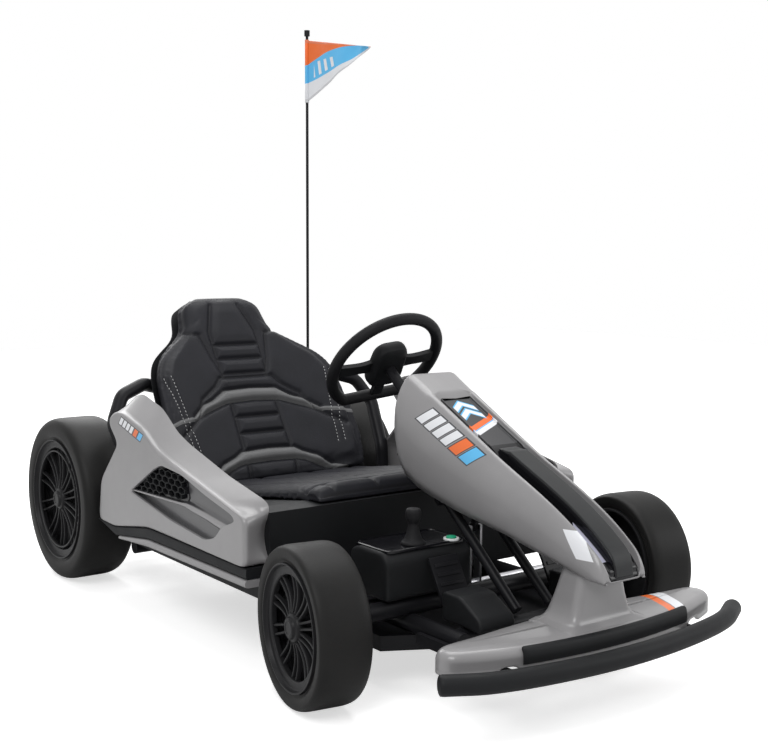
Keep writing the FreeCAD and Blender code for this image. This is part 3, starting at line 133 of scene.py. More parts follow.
class Finish:
    """One material: its shader's own numbers, and the nodes that vary it."""

    def __init__(self, name, colour, **numbers):
        self.material = bpy.data.materials.new(name)
        self.material.use_nodes = True
        self.tree = self.material.node_tree
        self.shader = self.tree.nodes["Principled BSDF"]
        self.feed("Base Color", tuple(colour) + (1.0,))
        for socket, number in numbers.items():
            self.feed(socket.replace("_", " ").title().replace("Ior", "IOR"), number)

    def feed(self, socket, value):
        """Give a socket of the shader a plain value or a link."""
        target = self.shader.inputs[socket]
        if isinstance(value, Amount):
            self.tree.links.new(value.socket, target)
        else:
            target.default_value = value

    def node(self, kind, settings=None, sockets=None, out=0):
        """Add a node, set its settings, then give its sockets numbers or links."""
        node = self.tree.nodes.new(kind)
        for name, setting in (settings or {}).items():
            setattr(node, name, setting)
        for name, value in (sockets or {}).items():
            if isinstance(value, Amount):
                self.tree.links.new(value.socket, node.inputs[name])
            else:
                node.inputs[name].default_value = value
        return Amount(self, node.outputs[out])

    def place(self):
        """Where the point is on its piece, in the kart's own frame."""
        return self.node("ShaderNodeTexCoord", out="Object")

    def axes(self):
        """The three coordinates of the kart's own frame, in metres."""
        split = self.node("ShaderNodeSeparateXYZ", None, {0: self.place()})
        outputs = split.socket.node.outputs
        return [Amount(self, outputs[axis]) for axis in range(3)]

    def stored(self, name):
        """A number that the mesh carries at its corners."""
        return self.node("ShaderNodeAttribute", {"attribute_name": name}, out="Fac")

    def noise(self, scale, detail=2.0, stretch=None):
        """Clouds of the given number per metre, which a stretch can draw out along an axis."""
        place = self.place()
        if stretch is not None:
            place = self.node("ShaderNodeVectorMath", {"operation": "MULTIPLY"}, {0: place, 1: stretch})
        return self.node("ShaderNodeTexNoise", None, {"Vector": place, "Scale": scale, "Detail": detail})

    def cells(self, scale):
        """The distance from the middle of the nearest of many scattered cells."""
        return self.node("ShaderNodeTexVoronoi", None, {"Vector": self.place(), "Scale": scale}, "Distance")

    def mix(self, share, first, second):
        """A colour that goes from the first to the second as the share goes from 0 to 1."""
        first, second = (value if isinstance(value, Amount) else tuple(value) + (1.0,)
                         for value in (first, second))
        return self.node("ShaderNodeMix", {"data_type": "RGBA"}, {0: share, 6: first, 7: second}, 2)

    def bump(self, height, depth):
        """Tilt the surface as if it stood this many metres proud where the height is 1."""
        normal = self.node("ShaderNodeBump", None, {"Height": height, "Distance": depth})
        self.feed("Normal", normal)

    def uneven(self, roughness, spread, scale):
        """A roughness that wanders by the spread on both sides of its value."""
        self.feed("Roughness", self.noise(scale, 3.0) * (spread * 2) + (roughness - spread))


print("shader helpers ready")

# %% [markdown]
# ## Hard finishes
# The frame is powder coated: black, satin, with a very fine orange peel. The moulded black
# plastics are grained so that they do not shine. Both come from a bump far smaller than a
# millimetre, because the eye reads it from the broken highlight and not from the outline.


# %% Blacks, steel and plastics
def grained(name, colour, roughness, scale, depth, spread=0.06, **numbers):
    """A plain moulded or coated surface: one colour, uneven gloss and a fine grain."""
    finish = Finish(name, colour, **{"specular_ior_level": 0.13, **numbers})
    cloud = finish.noise(9.0, 3.0)
    pale = [part * 1.35 + 0.002 for part in colour]
    finish.feed("Base Color", finish.mix(cloud, colour, pale))
    finish.uneven(roughness, spread, 40.0)
    finish.bump(finish.noise(scale, 3.0), depth)
    return finish


def glossy(name):
    """Black plastic from a polished mould."""
    return grained(name, JET, 0.16, 120.0, 0.00001, 0.04, coat_weight=0.3)


JET = (0.005, 0.005, 0.0065)
COAT = grained("powder_coat", (0.009, 0.009, 0.0105), 0.36, 650.0, 0.00006)
GRAIN = grained("grained_plastic", (0.010, 0.0105, 0.0115), 0.5, 1300.0, 0.00012)
GLOSS = glossy("gloss_plastic")
BAND = grained("band_plastic", (0.03, 0.031, 0.032), 0.42, 1400.0, 0.00006)
RIM = grained("rim_satin", (0.012, 0.012, 0.013), 0.36, 900.0, 0.00003)
CASE = grained("battery_case", (0.02, 0.02, 0.023), 0.5, 700.0, 0.0001)
HANDLE = grained("grip_rubber", (0.009, 0.009, 0.01), 0.52, 1500.0, 0.00014)
BUTTON = grained("button_green", (0.02, 0.32, 0.17), 0.22, 200.0, 0.00001, 0.03)
WHITE = grained("white_plastic", (0.62, 0.64, 0.64), 0.35, 300.0, 0.00001, 0.03)


def steel_finish():
    """Plated steel: metallic, brushed along its length by a stretched noise."""
    finish = Finish("plated_steel", (0.5, 0.5, 0.52), metallic=1.0)
    brushed = finish.noise(60.0, 4.0, (1.0, 9.0, 9.0))
    finish.feed("Roughness", brushed * 0.25 + 0.2)
    finish.bump(brushed, 0.00004)
    return finish


STEEL = steel_finish()
print("plain finishes:", [f.material.name for f in (COAT, GRAIN, GLOSS, BAND, RIM, CASE, STEEL)])

# %% [markdown]
# ## Rubber
# A slick tyre is matt black with a faint bloom: pale, cloudy patches where the mould release
# dried. Two noises of very different sizes give the bloom and the pores.


# %% Tyre rubber
def rubber_finish():
    """Matt black; the pale bloom is also the rougher part."""
    finish = Finish("tyre_rubber", (0.016, 0.016, 0.0165), specular_ior_level=0.14)
    bloom = finish.noise(14.0, 5.0)
    finish.feed("Base Color", finish.mix(bloom, (0.0075, 0.0075, 0.0078), (0.016, 0.0156, 0.015)))
    finish.feed("Roughness", bloom * 0.22 + 0.36)
    finish.bump(finish.noise(700.0, 3.0) + finish.cells(260.0) * 0.4, 0.00012)
    return finish


RUBBER = rubber_finish()
print(RUBBER.material.name, "ready")

# %% [markdown]
# ## Grey bodywork
# The pods, nose and wing are one grey plastic with a soft gloss. Its stripes are printed film,
# so they are only colour: each is a region of the kart's own frame, cut out by straight lines.
# A line is a sum of coordinates compared with a number, which keeps the edge sharp at any zoom.
# Where the real kart carries words or numerals, plain bars in the same colours take their place.

# %% Painted plastic and its stripes
GREY = (0.255, 0.25, 0.255)
# Painted shade for the pods' deep recess.
RECESS_SHADE_GREY = (0.05, 0.05, 0.054)
ORANGE = (0.86, 0.16, 0.025)
SKY = (0.11, 0.5, 0.86)
PALE = (0.82, 0.83, 0.86)
INK = (0.02, 0.022, 0.03)
EDGE = 0.0003
FRONT_AXLE = -0.346
BADGE_EDGE = 0.0018
BADGE_BARS = ((0.0, 0.12, PALE), (0.16, 0.28, PALE), (0.32, 0.44, PALE), (0.48, 0.6, PALE),
              (0.65, 0.8, ORANGE), (0.84, 1.0, SKY))


def painted(name, marks=None):
    """Grey plastic with a faint mottle and orange peel; marks gives (mask, colour) pairs."""
    finish = Finish(name, GREY, coat_weight=0.35, coat_roughness=0.12)
    mottle = finish.noise(26.0, 4.0)
    colour = finish.mix(mottle, [part * 0.93 for part in GREY], [part * 1.07 for part in GREY])
    for mask, tint in (marks(finish) if marks else []):
        colour = finish.mix(mask, colour, tint)
    finish.feed("Base Color", colour)
    finish.uneven(0.34, 0.05, 60.0)
    finish.bump(finish.noise(380.0, 2.0), 0.00002)
    return finish


def stripe(along, low, high):
    """1 between two values of a coordinate, 0 outside."""
    return along.under(high, EDGE) * (1.0 - along.under(low, EDGE))


def slanted_bars(finish, start, down, rows):
    """Leaning bars in a row, each with its own colour, on the flank of a panel.

    The row starts at a point (y, z) and runs along a unit direction; a bar is the part of the
    row between two distances, leaning by half its height.
    """
    x, y, z = finish.axes()
    along = (y - start[0]) * down[0] + (z - start[1]) * down[1]
    across = (y - start[0]) * -down[1] + (z - start[1]) * down[0]
    leaning = along + across * 0.55
    return [(stripe(leaning, low, high) * across.size().under(half, EDGE), tint)
            for low, high, half, tint in rows]


def badge(finish, start, dip, length, half):
    """Six leaning bars in a row: four pale, one orange and one blue, growing wider."""
    down = (-math.cos(math.radians(dip)), -math.sin(math.radians(dip)))
    outlines = [(length * low - BADGE_EDGE, length * high + BADGE_EDGE, half + BADGE_EDGE, INK)
                for low, high, tint in BADGE_BARS]
    bars = [(length * low, length * high, half, tint) for low, high, tint in BADGE_BARS]
    return slanted_bars(finish, start, down, outlines + bars)


def nose_marks(finish):
    """A badge on each flank, and a pale flash near the tip on the right one."""
    x, y, z = finish.axes()
    leaning = y + (0.257 - z) * 0.8
    flash = stripe(leaning, -0.584, -0.557) * stripe(z, 0.221, 0.257) * x.under(-0.03, EDGE)
    return badge(finish, (-0.262, 0.387), 25.6, 0.132, 0.013) + [(flash, PALE)]


def pod_marks(finish):
    """Dark grey painted shade where the recess is deep, and a badge on the outer face only."""
    sunk = finish.stored("sunk")
    outer = 1.0 - finish.axes()[0].size().under(0.3435, EDGE)
    film = [(mask * outer, tint) for mask, tint in badge(finish, (0.238, 0.342), 14.0, 0.088, 0.0072)]
    # The dark grey is painted shade: it darkens the recess where it lies more than about 4 mm below the
    # face.
    return [(1.0 - sunk.under(0.0042, 0.0012), RECESS_SHADE_GREY)] + film


def wing_marks(finish):
    """An orange and a pale stripe across the top of the left half."""
    x, y, z = finish.axes()
    top = 1.0 - z.under(0.114, EDGE)
    line = x - (y - FRONT_AXLE) * 0.3
    return [(stripe(line, 0.202, 0.217) * top, ORANGE), (stripe(line, 0.2195, 0.24) * top, PALE)]


def recess_finish():
    """Gloss black whose rear part carries dark film with stripes and two chevrons."""
    finish = glossy("recess_gloss")
    x, y, z = finish.axes()
    behind = y - FRONT_AXLE
    film = 1.0 - behind.under(-0.034, EDGE)
    colour = finish.mix(film, JET, (0.05, 0.05, 0.053))
    slant = behind - x * 0.4
    chevron = behind + x.size() * 0.7
    near = x.size().under(0.021, EDGE)
    flash = stripe(y - x * 1.2, -0.598, -0.525) * x.under(-0.0185, EDGE) * (1.0 - y.under(-0.622, EDGE))
    marks = [(stripe(slant, 0.012, 0.022), ORANGE), (stripe(slant, 0.01, 0.012), SKY),
             (stripe(slant, 0.001, 0.01), PALE)]
    for start in (0.042, 0.061):
        marks += [(stripe(chevron, start, start + 0.015) * near, SKY),
                  (stripe(chevron, start + 0.0025, start + 0.0125) * near, PALE)]
    for mask, tint in marks + [(flash, (0.55, 0.55, 0.68))]:
        colour = finish.mix(mask, colour, tint)
    finish.feed("Base Color", colour)
    return finish


PAINT = painted("grey_paint")
NOSE_PAINT = painted("nose_paint", nose_marks)
POD_PAINT = painted("pod_paint", pod_marks)
WING_PAINT = painted("wing_paint", wing_marks)
RECESS = recess_finish()
print("painted finishes with printed stripes")

# %% [markdown]
# ## Finishes for the solids
# Each solid is carried over with its slot's name. A table from slot to finish dresses the ones
# whose shape is already right, such as the frame, the tray and the axle.

# %% Dress the solids
FINISHES = {
    "frame_black": COAT, "body_grey": PAINT, "dark_plastic": GRAIN, "gloss_black": GLOSS,
    "band_grey": BAND, "tyre_rubber": RUBBER, "rim_black": RIM, "bare_steel": STEEL,
    "seat_leather": GRAIN, "grip_rubber": HANDLE, "battery_case": CASE, "flag_cloth": GRAIN,
    "button_green": BUTTON,
}
for part in frame["record"]["subparts"]:
    node = frame["nodes"][part["node"]]
    for slot in node.material_slots:
        slot.material = FINISHES[part["material_slot"]].material
frame["nodes"]["steering_shaft"].material_slots[0].material = COAT.material

# %% [markdown]
# ## Surfaces from arrays
# Every new piece is a grid of points worked out with numpy: rows along the piece, columns
# around it. The class Form joins neighbouring points into faces and gathers grids into a mesh.
# Everything is in millimetres here and becomes metres in the mesh.


# %% Grid helpers
def xyz(*parts):
    """Coordinates of any shapes that fit each other, side by side on the last axis."""
    return np.stack(np.broadcast_arrays(*parts), axis=-1)


def outlines_of(corners):
    """Corners (x, z) that change along a piece become one outline for each of its rows."""
    return np.stack([xyz(x, z) for x, z in corners], axis=-2)


def rounded(corners, radius, steps=5):
    """Swap each corner C of a closed outline for the curve (1-t)^2 A + 2t(1-t) C + t^2 B.

    A and B lie on the two edges at the radius from C, and never past the edge's middle.
    """
    corners = np.asarray(corners, float)
    radius = np.broadcast_to(radius, corners.shape[:-1])[..., None]
    ends = []
    for shift in (1, -1):
        step = np.roll(corners, shift, axis=-2) - corners
        length = np.maximum(np.linalg.norm(step, axis=-1, keepdims=True), 1e-9)
        ends.append(corners + step * np.minimum(radius / length, 0.49))
    t = np.linspace(0, 1, steps)[:, None]
    first, last = (end[..., None, :] for end in ends)
    curve = (1 - t) ** 2 * first + 2 * t * (1 - t) * corners[..., None, :] + t ** 2 * last
    return curve.reshape(corners.shape[:-2] + (-1, corners.shape[-1]))


def bent(corners, radius, steps=8):
    """The same rounding for an open line, whose two ends stay sharp."""
    radius = np.broadcast_to(radius, len(corners)).astype(float)
    radius[[0, -1]] = 0
    line = rounded(corners, radius, steps)
    return line[steps - 1:len(line) - steps + 1]


def even(line, count, closed=False):
    """Points at equal steps of length along a line."""
    line = np.vstack([line, line[:1]]) if closed else np.asarray(line, float)
    steps = np.linalg.norm(np.diff(line, axis=0), axis=1)
    run = np.concatenate([[0], np.cumsum(steps)])
    at = np.linspace(0, run[-1], count, endpoint=not closed)
    return np.stack([np.interp(at, run, line[:, axis]) for axis in range(line.shape[1])], axis=-1)


def flowing(keys, values, at):
    """A smooth curve through values at keys: cubic pieces that share their slopes."""
    keys = np.asarray(keys, float)
    values = np.asarray(values, float)
    slopes = np.gradient(values, keys)
    n = np.clip(np.searchsorted(keys, at, side="right") - 1, 0, len(keys) - 2)
    span = keys[n + 1] - keys[n]
    u = (at - keys[n]) / span
    rise = values[n] * (2 * u ** 3 - 3 * u ** 2 + 1) + values[n + 1] * (3 * u ** 2 - 2 * u ** 3)
    return rise + span * (slopes[n] * (u ** 3 - 2 * u ** 2 + u) + slopes[n + 1] * (u ** 3 - u ** 2))


def step_up(value, low, high):
    """0 below low, 1 above high, and the smooth step 3u^2 - 2u^3 between them."""
    u = np.clip((value - low) / (high - low), 0, 1)
    return u * u * (3 - 2 * u)


class Form:
    """Grids of points in millimetres, gathered into one mesh."""

    def __init__(self):
        self.points = []
        self.faces = []
        self.count = 0

    def grid(self, points, around=False, along=False, caps=()):
        """Join point (i, j) with its neighbours; caps names the rows closed by a fan."""
        rows, columns = points.shape[:2]
        index = np.arange(rows * columns).reshape(rows, columns) + self.count
        if along:
            index = np.vstack([index, index[:1]])
        if around:
            index = np.hstack([index, index[:, :1]])
        quads = np.stack([index[:-1, :-1], index[:-1, 1:], index[1:, 1:], index[1:, :-1]], axis=-1)
        self.faces += quads.reshape(-1, 4).tolist()
        self.points.append(points.reshape(-1, 3))
        self.count += rows * columns
        for row in caps:
            ring = index[row]
            self.points.append(points[row].mean(axis=0)[None])
            fan = np.stack([ring[:-1], ring[1:], np.full(len(ring) - 1, self.count)], axis=-1)
            self.faces += fan.tolist()
            self.count += 1
        return self

    def ring(self, points):
        """A grid that closes on itself both ways."""
        return self.grid(points, around=True, along=True)

    def tube(self, points):
        """A grid that closes around, with both ends shut."""
        return self.grid(points, around=True, caps=(0, -1))


def make(name, form, finish, replaced=(), angle=32, body="chassis", outward=True, wall=0.0):
    """Turn a form into a finished piece that rides on a body and stands for solids."""
    mesh = bpy.data.meshes.new(name)
    mesh.from_pydata((np.vstack(form.points) / 1000).tolist(), [], form.faces)
    work = bmesh.new()
    work.from_mesh(mesh)
    bmesh.ops.remove_doubles(work, verts=work.verts, dist=2e-5)
    bmesh.ops.dissolve_degenerate(work, dist=1e-6, edges=work.edges)
    if outward:
        bmesh.ops.recalc_face_normals(work, faces=work.faces)
    work.to_mesh(mesh)
    work.free()
    mesh.polygons.foreach_set("use_smooth", [True] * len(mesh.polygons))
    mesh.set_sharp_from_angle(angle=math.radians(angle))
    mesh.materials.append(finish.material)
    piece = bpy.data.objects.new(name, mesh)
    bpy.context.scene.collection.objects.link(piece)
    if wall:
        shell = piece.modifiers.new("wall", "SOLIDIFY")
        shell.thickness = wall / 1000
        shell.offset = -1.0
    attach(piece, body)
    if replaced:
        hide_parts(*replaced)
    print(name, len(mesh.polygons), "faces")
    return piece


def spun(profile, steps=96):
    """Turn a closed (across, radius) profile about the X axis: y = r cos a, z = r sin a."""
    turn = np.linspace(0, 2 * np.pi, steps, endpoint=False)[:, None]
    across, radius = profile[None, :, 0], profile[None, :, 1]
    return xyz(across, radius * np.cos(turn), radius * np.sin(turn))


def swept(path, radius, dome, sides=32):
    """A round tube along a level path; its rings face the path and shrink to a dome at both ends."""
    rise = np.sin(np.linspace(0, np.pi / 2, 6))[1:]
    fall = rise[::-1]
    shrink = np.concatenate([np.sqrt(1 - fall ** 2), np.ones(len(path) - 2), np.sqrt(1 - rise ** 2)])
    first = (path[1] - path[0]) / np.linalg.norm(path[1] - path[0])
    last = (path[-1] - path[-2]) / np.linalg.norm(path[-1] - path[-2])
    head = path[0] + first * (radius * dome) * (1 - fall)[:, None]
    tail = path[-1] - last * (radius * dome) * (1 - rise)[:, None]
    path = np.vstack([head, path[1:-1], tail])
    along = np.gradient(path, axis=0)
    along /= np.linalg.norm(along, axis=1, keepdims=True)
    out = np.cross(along, [0.0, 0.0, 1.0])
    out /= np.linalg.norm(out, axis=1, keepdims=True)
    up = np.cross(out, along)
    turn = np.linspace(0, 2 * np.pi, sides, endpoint=False)[None, :, None]
    ring = out[:, None] * np.cos(turn) + up[:, None] * np.sin(turn)
    return path[:, None] + ring * (radius * shrink)[:, None, None]


print("grid helpers ready")

# %% [markdown]
# ## Tyres
# A slick tyre is a thick ring with a flat tread and soft shoulders, a little narrower at the
# bead. It is one profile turned about the axle. All four tyres come from one function, because
# they differ only in their sizes.

# %% Tyres
REST_TURN = math.radians(-8.9)
COSINE, SINE = math.cos(REST_TURN), math.sin(REST_TURN)
FRONT_TURN = np.array([[COSINE, -SINE, 0], [SINE, COSINE, 0], [0, 0, 1]])
WHEELS = []
for side, sign in (("right", -1), ("left", 1)):
    WHEELS.append(("front", side, sign, (sign * 319.7, -346 - sign * 4.95, 116), 116, 79, 91, FRONT_TURN))
    WHEELS.append(("rear", side, sign, (sign * 308.6, 514, 157), 157, 102, 116, np.eye(3)))


def placed(points, sign, centre, turn):
    """Mirror a wheel's points to its side, turn them as steered and move them to the hub."""
    return (points * [sign, 1, 1]) @ turn.T + np.asarray(centre, float)


for end, side, sign, centre, radius, width, rim, turn in WHEELS:
    half = width / 2
    outline = [(-half + 4, rim + 0.4), (-half + 4, rim + 3), (-half, rim + 9), (-half, radius),
               (half, radius), (half, rim + 9), (half - 4, rim + 3), (half - 4, rim + 0.4)]
    profile = rounded(outline, [0.2, 2, 8, 0.17 * radius, 0.17 * radius, 8, 2, 0.2], 9)
    form = Form().ring(placed(spun(profile, 120), sign, centre, turn))
    make(f"{end}_tread_{side}", form, RUBBER, [f"{end}_tyre_{side}"], 40,
         f"{end}_wheel_{side}")

# %% [markdown]
# ## Wheels
# The plastic wheels have a deep barrel, a broad flat ring at the face and ten pairs of slim ribs
# that dip towards a round cap. The barrel, ring and cap are turned profiles. One rib is a small
# loft, and turning its array twenty times gives the rest.


# %% Wheels
def rib(half, ring, foot, lean):
    """One rib: a rounded section carried from the hub (foot) out to the ring, dipping between.

    The dip is half a sine wave along the rib, and the rib leans sideways by the lean.
    """
    along = np.linspace(0, 1, 9)
    reach = foot + (ring - foot) * along
    face = half - 9 - 5 * np.sin(np.pi * along)
    section = rounded([(-2.4, -7), (2.4, -7), (1.7, 0), (-1.7, 0)], 1.2, 3)
    sideways = lean * (0.55 + 0.45 * along)
    return xyz(face[:, None] + section[:, 1], sideways[:, None] + section[:, 0], reach[:, None])


RIB_PAIRS = 10
for end, side, sign, centre, radius, width, rim, turn in WHEELS:
    half = width / 2
    lip = rim - 17
    barrel = [(-half, rim), (-half, rim - 4), (half - 20, rim - 5), (half - 16, lip), (half - 8, lip),
              (half - 6.5, lip + 2), (half - 6.5, rim - 5), (half - 3, rim - 3.4), (half, rim - 2.4),
              (half, rim)]
    hub = [(half - 50, 10), (half - 50, 20), (half - 12, 22), (half - 7, 20), (half - 6, 16),
           (half - 2, 14.5), (half - 1.2, 10), (half - 2.2, 8.5), (half - 2, 0.01), (half - 12, 0.01)]
    disc = [(half - 30, 17), (half - 30, rim - 4.8), (half - 27.5, rim - 4.8), (half - 27.5, 17)]
    turned = [(rounded(barrel, [0.8, 0.8, 3, 1, 1, 1, 1, 1, 0.9, 0.6], 4), 96)]
    if end == "rear":
        bead = [(half - 7, lip - 3), (half - 7, lip - 8), (half - 3.5, lip - 7), (half - 3.5, lip - 4)]
        turned.append((rounded(bead, 0.8, 3), 96))
    turned += [(rounded(hub, [1, 2, 2, 1.5, 1, 1.5, 1, 1, 0, 0], 4), 48), (rounded(disc, 0.5, 3), 96)]
    form = Form()
    for profile, steps in turned:
        form.ring(placed(spun(profile, steps), sign, centre, turn))
    for number in range(RIB_PAIRS):
        angle = 2 * math.pi * number / RIB_PAIRS
        about = np.array([[1, 0, 0], [0, math.cos(angle), -math.sin(angle)],
                          [0, math.sin(angle), math.cos(angle)]])
        for lean in (-rim * 0.075, rim * 0.075):
            form.tube(placed(rib(half, lip + 3, 17, lean) @ about.T, sign, centre, turn))
    make(f"{end}_wheel_{side}_dish", form, RIM, [f"{end}_rim_{side}"], 40, f"{end}_wheel_{side}")

# %% [markdown]
# ## Nose cowl
# The long nose is a thin arch, open below and behind. A recess runs down its top: shallow near
# the steering wheel and deeper further forwards, where a dark raised band splits it. The whole
# skin is one loft. Each row is a rounded section, and the rows get lower and narrower along the
# nose. The last rows fall along a quarter circle, which closes the blunt tip.

# %% Nose sections
NOSE_KEYS = (0.0, 0.132, 0.457, 0.921, 1.0)
NOSE_TOP = (446, 417, 346, 243, 217)
NOSE_HALF = (74, 73.5, 66, 50, 46)
NOSE_BROW = (48, 46, 43, 40, 38)
NOSE_LOW_KEYS = (0.0, 0.02, 0.06, 0.13, 0.2, 0.36, 0.58, 0.8, 0.93, 1.0)
NOSE_LOW = (330, 306, 286, 271, 262, 246, 230, 208, 194, 191)
ROUND_FROM = 0.955
SKIN_WALL = 2.6


def nose_rows(share):
    """Place, top, bottom, half width and half width of the top at shares of the nose's length."""
    bow = np.clip((share - ROUND_FROM) / (1 - ROUND_FROM), 0, 1)
    ahead = np.where(share > ROUND_FROM, ROUND_FROM + (1 - ROUND_FROM) * np.sin(bow * np.pi / 2), share)
    fall = np.cos(bow * np.pi / 2)
    low = np.interp(ahead, NOSE_LOW_KEYS, NOSE_LOW)
    rear = np.clip(share / 0.022, 0, 1)
    top = flowing(NOSE_KEYS, NOSE_TOP, ahead) - 9 * (1 - np.sqrt(1 - (1 - rear) ** 2))
    top = low + (top - low) * (0.1 + 0.9 * fall ** 0.5)
    draw = 1 - 0.12 * (1 - fall) - 0.03 * (1 - rear)
    half = flowing(NOSE_KEYS, NOSE_HALF, ahead) * draw
    brow = flowing(NOSE_KEYS, NOSE_BROW, ahead) * draw
    return -199 - 431 * ahead, top, low, half, brow


def nose_depth(share):
    """How deep the recess lies: shallow behind, deep ahead of the scoop, nothing at the rear."""
    return 8 * step_up(share, 0.125, 0.16) + 7 * step_up(share, 0.43, 0.5)


def nose_skin(share):
    """Each section, from the right lower edge over the recess to the left lower edge."""
    place, top, low, half, brow = nose_rows(share)
    rise = top - low
    depth = np.minimum(nose_depth(share), rise * 0.6)
    wide = np.minimum(31 * step_up(share, 0.1, 0.145) + 4, brow - 5)
    right = [(-half + 6, low), (-half, low + 0.2 * rise), (-half + 3, top - 0.3 * rise), (-brow, top),
             (-wide - 2, top), (-wide, top - depth)]
    corners = outlines_of(right + [(-x, z) for x, z in right[::-1]])
    outline = rounded(corners, [0, 40, 40, 11, 3, 4, 4, 3, 11, 40, 40, 0], 7)[:, 6:-6]
    return xyz(outline[..., 0], place[:, None], outline[..., 1])


nose_share = np.concatenate([np.linspace(0, 0.03, 8), np.linspace(0.04, 0.94, 110),
                             np.linspace(0.945, 1, 16)])
make("nose_skin", Form().grid(nose_skin(nose_share)), NOSE_PAINT, ["nose_cowl"], wall=SKIN_WALL)

# %% [markdown]
# ## Recess lining and raised band
# The recess is lined with black plastic, and a dark grey band rises from it like the lip of a
# scoop. Both follow the nose's own rows, so they fit it everywhere and wrap over its tip.


# %% Lining and band
def nose_insert(share, corners, radii):
    """Sections given as (x, height above the recess floor), carried along the nose."""
    place, top, low, half, brow = nose_rows(share)
    floor = top - np.minimum(nose_depth(share), (top - low) * 0.6)
    outline = rounded(corners, radii)
    scale = np.minimum(1, (brow - 6) / 31)[:, None]
    squeeze = np.clip((top - low) / 26, 0.15, 1)[:, None]
    return xyz(outline[:, 0] * scale, place[:, None], floor[:, None] + outline[:, 1] * squeeze)


lining_share = np.concatenate([np.linspace(0.158, 0.94, 90), np.linspace(0.945, 0.998, 14)])
channel = [(-30.6, 5.6), (-30.6, 0.5), (30.6, 0.5), (30.6, 5.6), (28.6, 5.6), (28.6, 2.2), (-28.6, 2.2),
           (-28.6, 5.6)]
lining = nose_insert(lining_share, channel, [0.4, 2, 2, 0.4, 0.4, 2, 2, 0.4])
make("recess_lining", Form().tube(lining), RECESS, ["nose_liner"])
band_share = np.concatenate([np.linspace(0.447, 0.94, 66), np.linspace(0.945, 0.999, 16)])
core = nose_insert(band_share, [(-19, 2.6), (19, 2.6), (18, 19), (-18, 19)], [0.5, 0.5, 2, 2])
cap = nose_insert(band_share, [(-17.6, 18), (17.6, 18), (17.6, 22), (-17.6, 22)], [0.5, 0.5, 2.2, 2.2])
wedge = np.interp(np.arange(len(band_share)), [0, 7], [0.3, 1.0])[:, None]
for rows in (core, cap):
    floor_level = core[:, :1, 2] - 2.6
    rows[..., 2] = floor_level + (rows[..., 2] - floor_level) * wedge
make("scoop_core", Form().tube(core), GLOSS)
make("scoop_band", Form().tube(cap), BAND, ["nose_band"])

# %% [markdown]
# ## Front wing
# The wing is a hollow plate with a blunt, rounded rim, swept back at both ends and notched below
# for the bumper's brackets. Its outline is a loop in plan. The loop is carried up the rim, over a
# round shoulder and in towards a spine, so one grid makes the whole skin. The pylon that carries
# the nose is a second grid whose foot flares into the wing.

# %% Wing
WING_FRONT = -624.0
WING_DEPTH = 118.0
WING_ROWS = ((0.0, 0.0), (0.583, 0.119), (0.871, 0.339), (0.975, 0.45), (1.0, 0.619), (0.975, 0.745),
             (0.9, 0.8), (0.307, 0.966))
half_plan = [(264 * out, WING_FRONT + WING_DEPTH * back) for out, back in WING_ROWS]
plan = [(-x, y) for x, y in half_plan[:0:-1]] + half_plan
plan_radii = [60, 30, 18, 16, 18, 60, 160]
plan_loop = even(rounded(plan, plan_radii + [300] + plan_radii[::-1], 12), 320, closed=True)
spine_x = plan_loop[:, 0] * (1 - 0.2 * (np.abs(plan_loop[:, 0]) / 264) ** 3)
spine_y = WING_FRONT + 66 + (np.abs(spine_x) / 205) ** 1.5 * 8
spine = np.stack([spine_x, spine_y], axis=-1)
outward = plan_loop - spine
outward /= np.linalg.norm(outward, axis=1, keepdims=True)
turn = np.linspace(0, np.pi / 2, 9)
inset = np.concatenate([[0, 0, 0], 15 * (1 - np.cos(turn))])
level = np.concatenate([[92, 100, 108], 110 + 13.5 * np.sin(turn)])
room = np.linalg.norm(plan_loop - spine, axis=1)
inset = inset[:, None] * np.minimum(1, room / 24)
notch = np.exp(-((np.abs(plan_loop[:, 0]) - 183) / 15) ** 4) * (plan_loop[:, 1] < -552) * 8
rim_rows = plan_loop[None] - outward[None] * inset[..., None]
lifted = np.zeros(len(level))
lifted[:2] = 1.0, 0.4
side_rows = xyz(rim_rows[..., 0], rim_rows[..., 1], level[:, None] + notch * lifted[:, None])
inwards = np.array([0.12, 0.3, 0.5, 0.7, 0.86, 1.0])[:, None]
inner = rim_rows[-1] * (1 - inwards[..., None]) + spine * inwards[..., None]
top_rows = xyz(inner[..., 0], inner[..., 1], 123.5 + 2.5 * np.sqrt(inwards))
form = Form().grid(np.concatenate([side_rows, top_rows]), around=True)
make("wing_skin", form, WING_PAINT, ["front_wing"], 40, wall=SKIN_WALL)

# %% [markdown]
# ### Pylon
# The pylon is a loft of eight rounded rectangles. The lowest ones grow by the flare, which makes
# the soft foot.

# %% Pylon
pylon_level = np.array([123.0, 126.5, 129, 133, 140, 160, 185, 205.4])
flare = np.array([22.0, 16, 9, 5, 2.5, 0.8, 0.2, 0])
front_edge = WING_FRONT + 32
rear_edge = np.interp(pylon_level, [126, 206], [WING_FRONT + 94, WING_FRONT + 78])
pylon_half = np.interp(pylon_level, [126, 206], [56, 38])
corners = [(-pylon_half - flare, rear_edge + flare * 0.6), (pylon_half + flare, rear_edge + flare * 0.6),
           (pylon_half + flare, front_edge - flare * 0.7), (-pylon_half - flare, front_edge - flare * 0.7)]
loops = rounded(outlines_of(corners), 14, 9)
pylon = xyz(loops[..., 0], loops[..., 1], pylon_level[:, None])
make("wing_pylon", Form().tube(pylon), PAINT)

# %% [markdown]
# ## Wing strip and bumper
# A black strip covers the wing's front, and the bumper is a padded tube with flat rounded ends.
# Both are sections carried along a line: the strip along the wing's own outline.

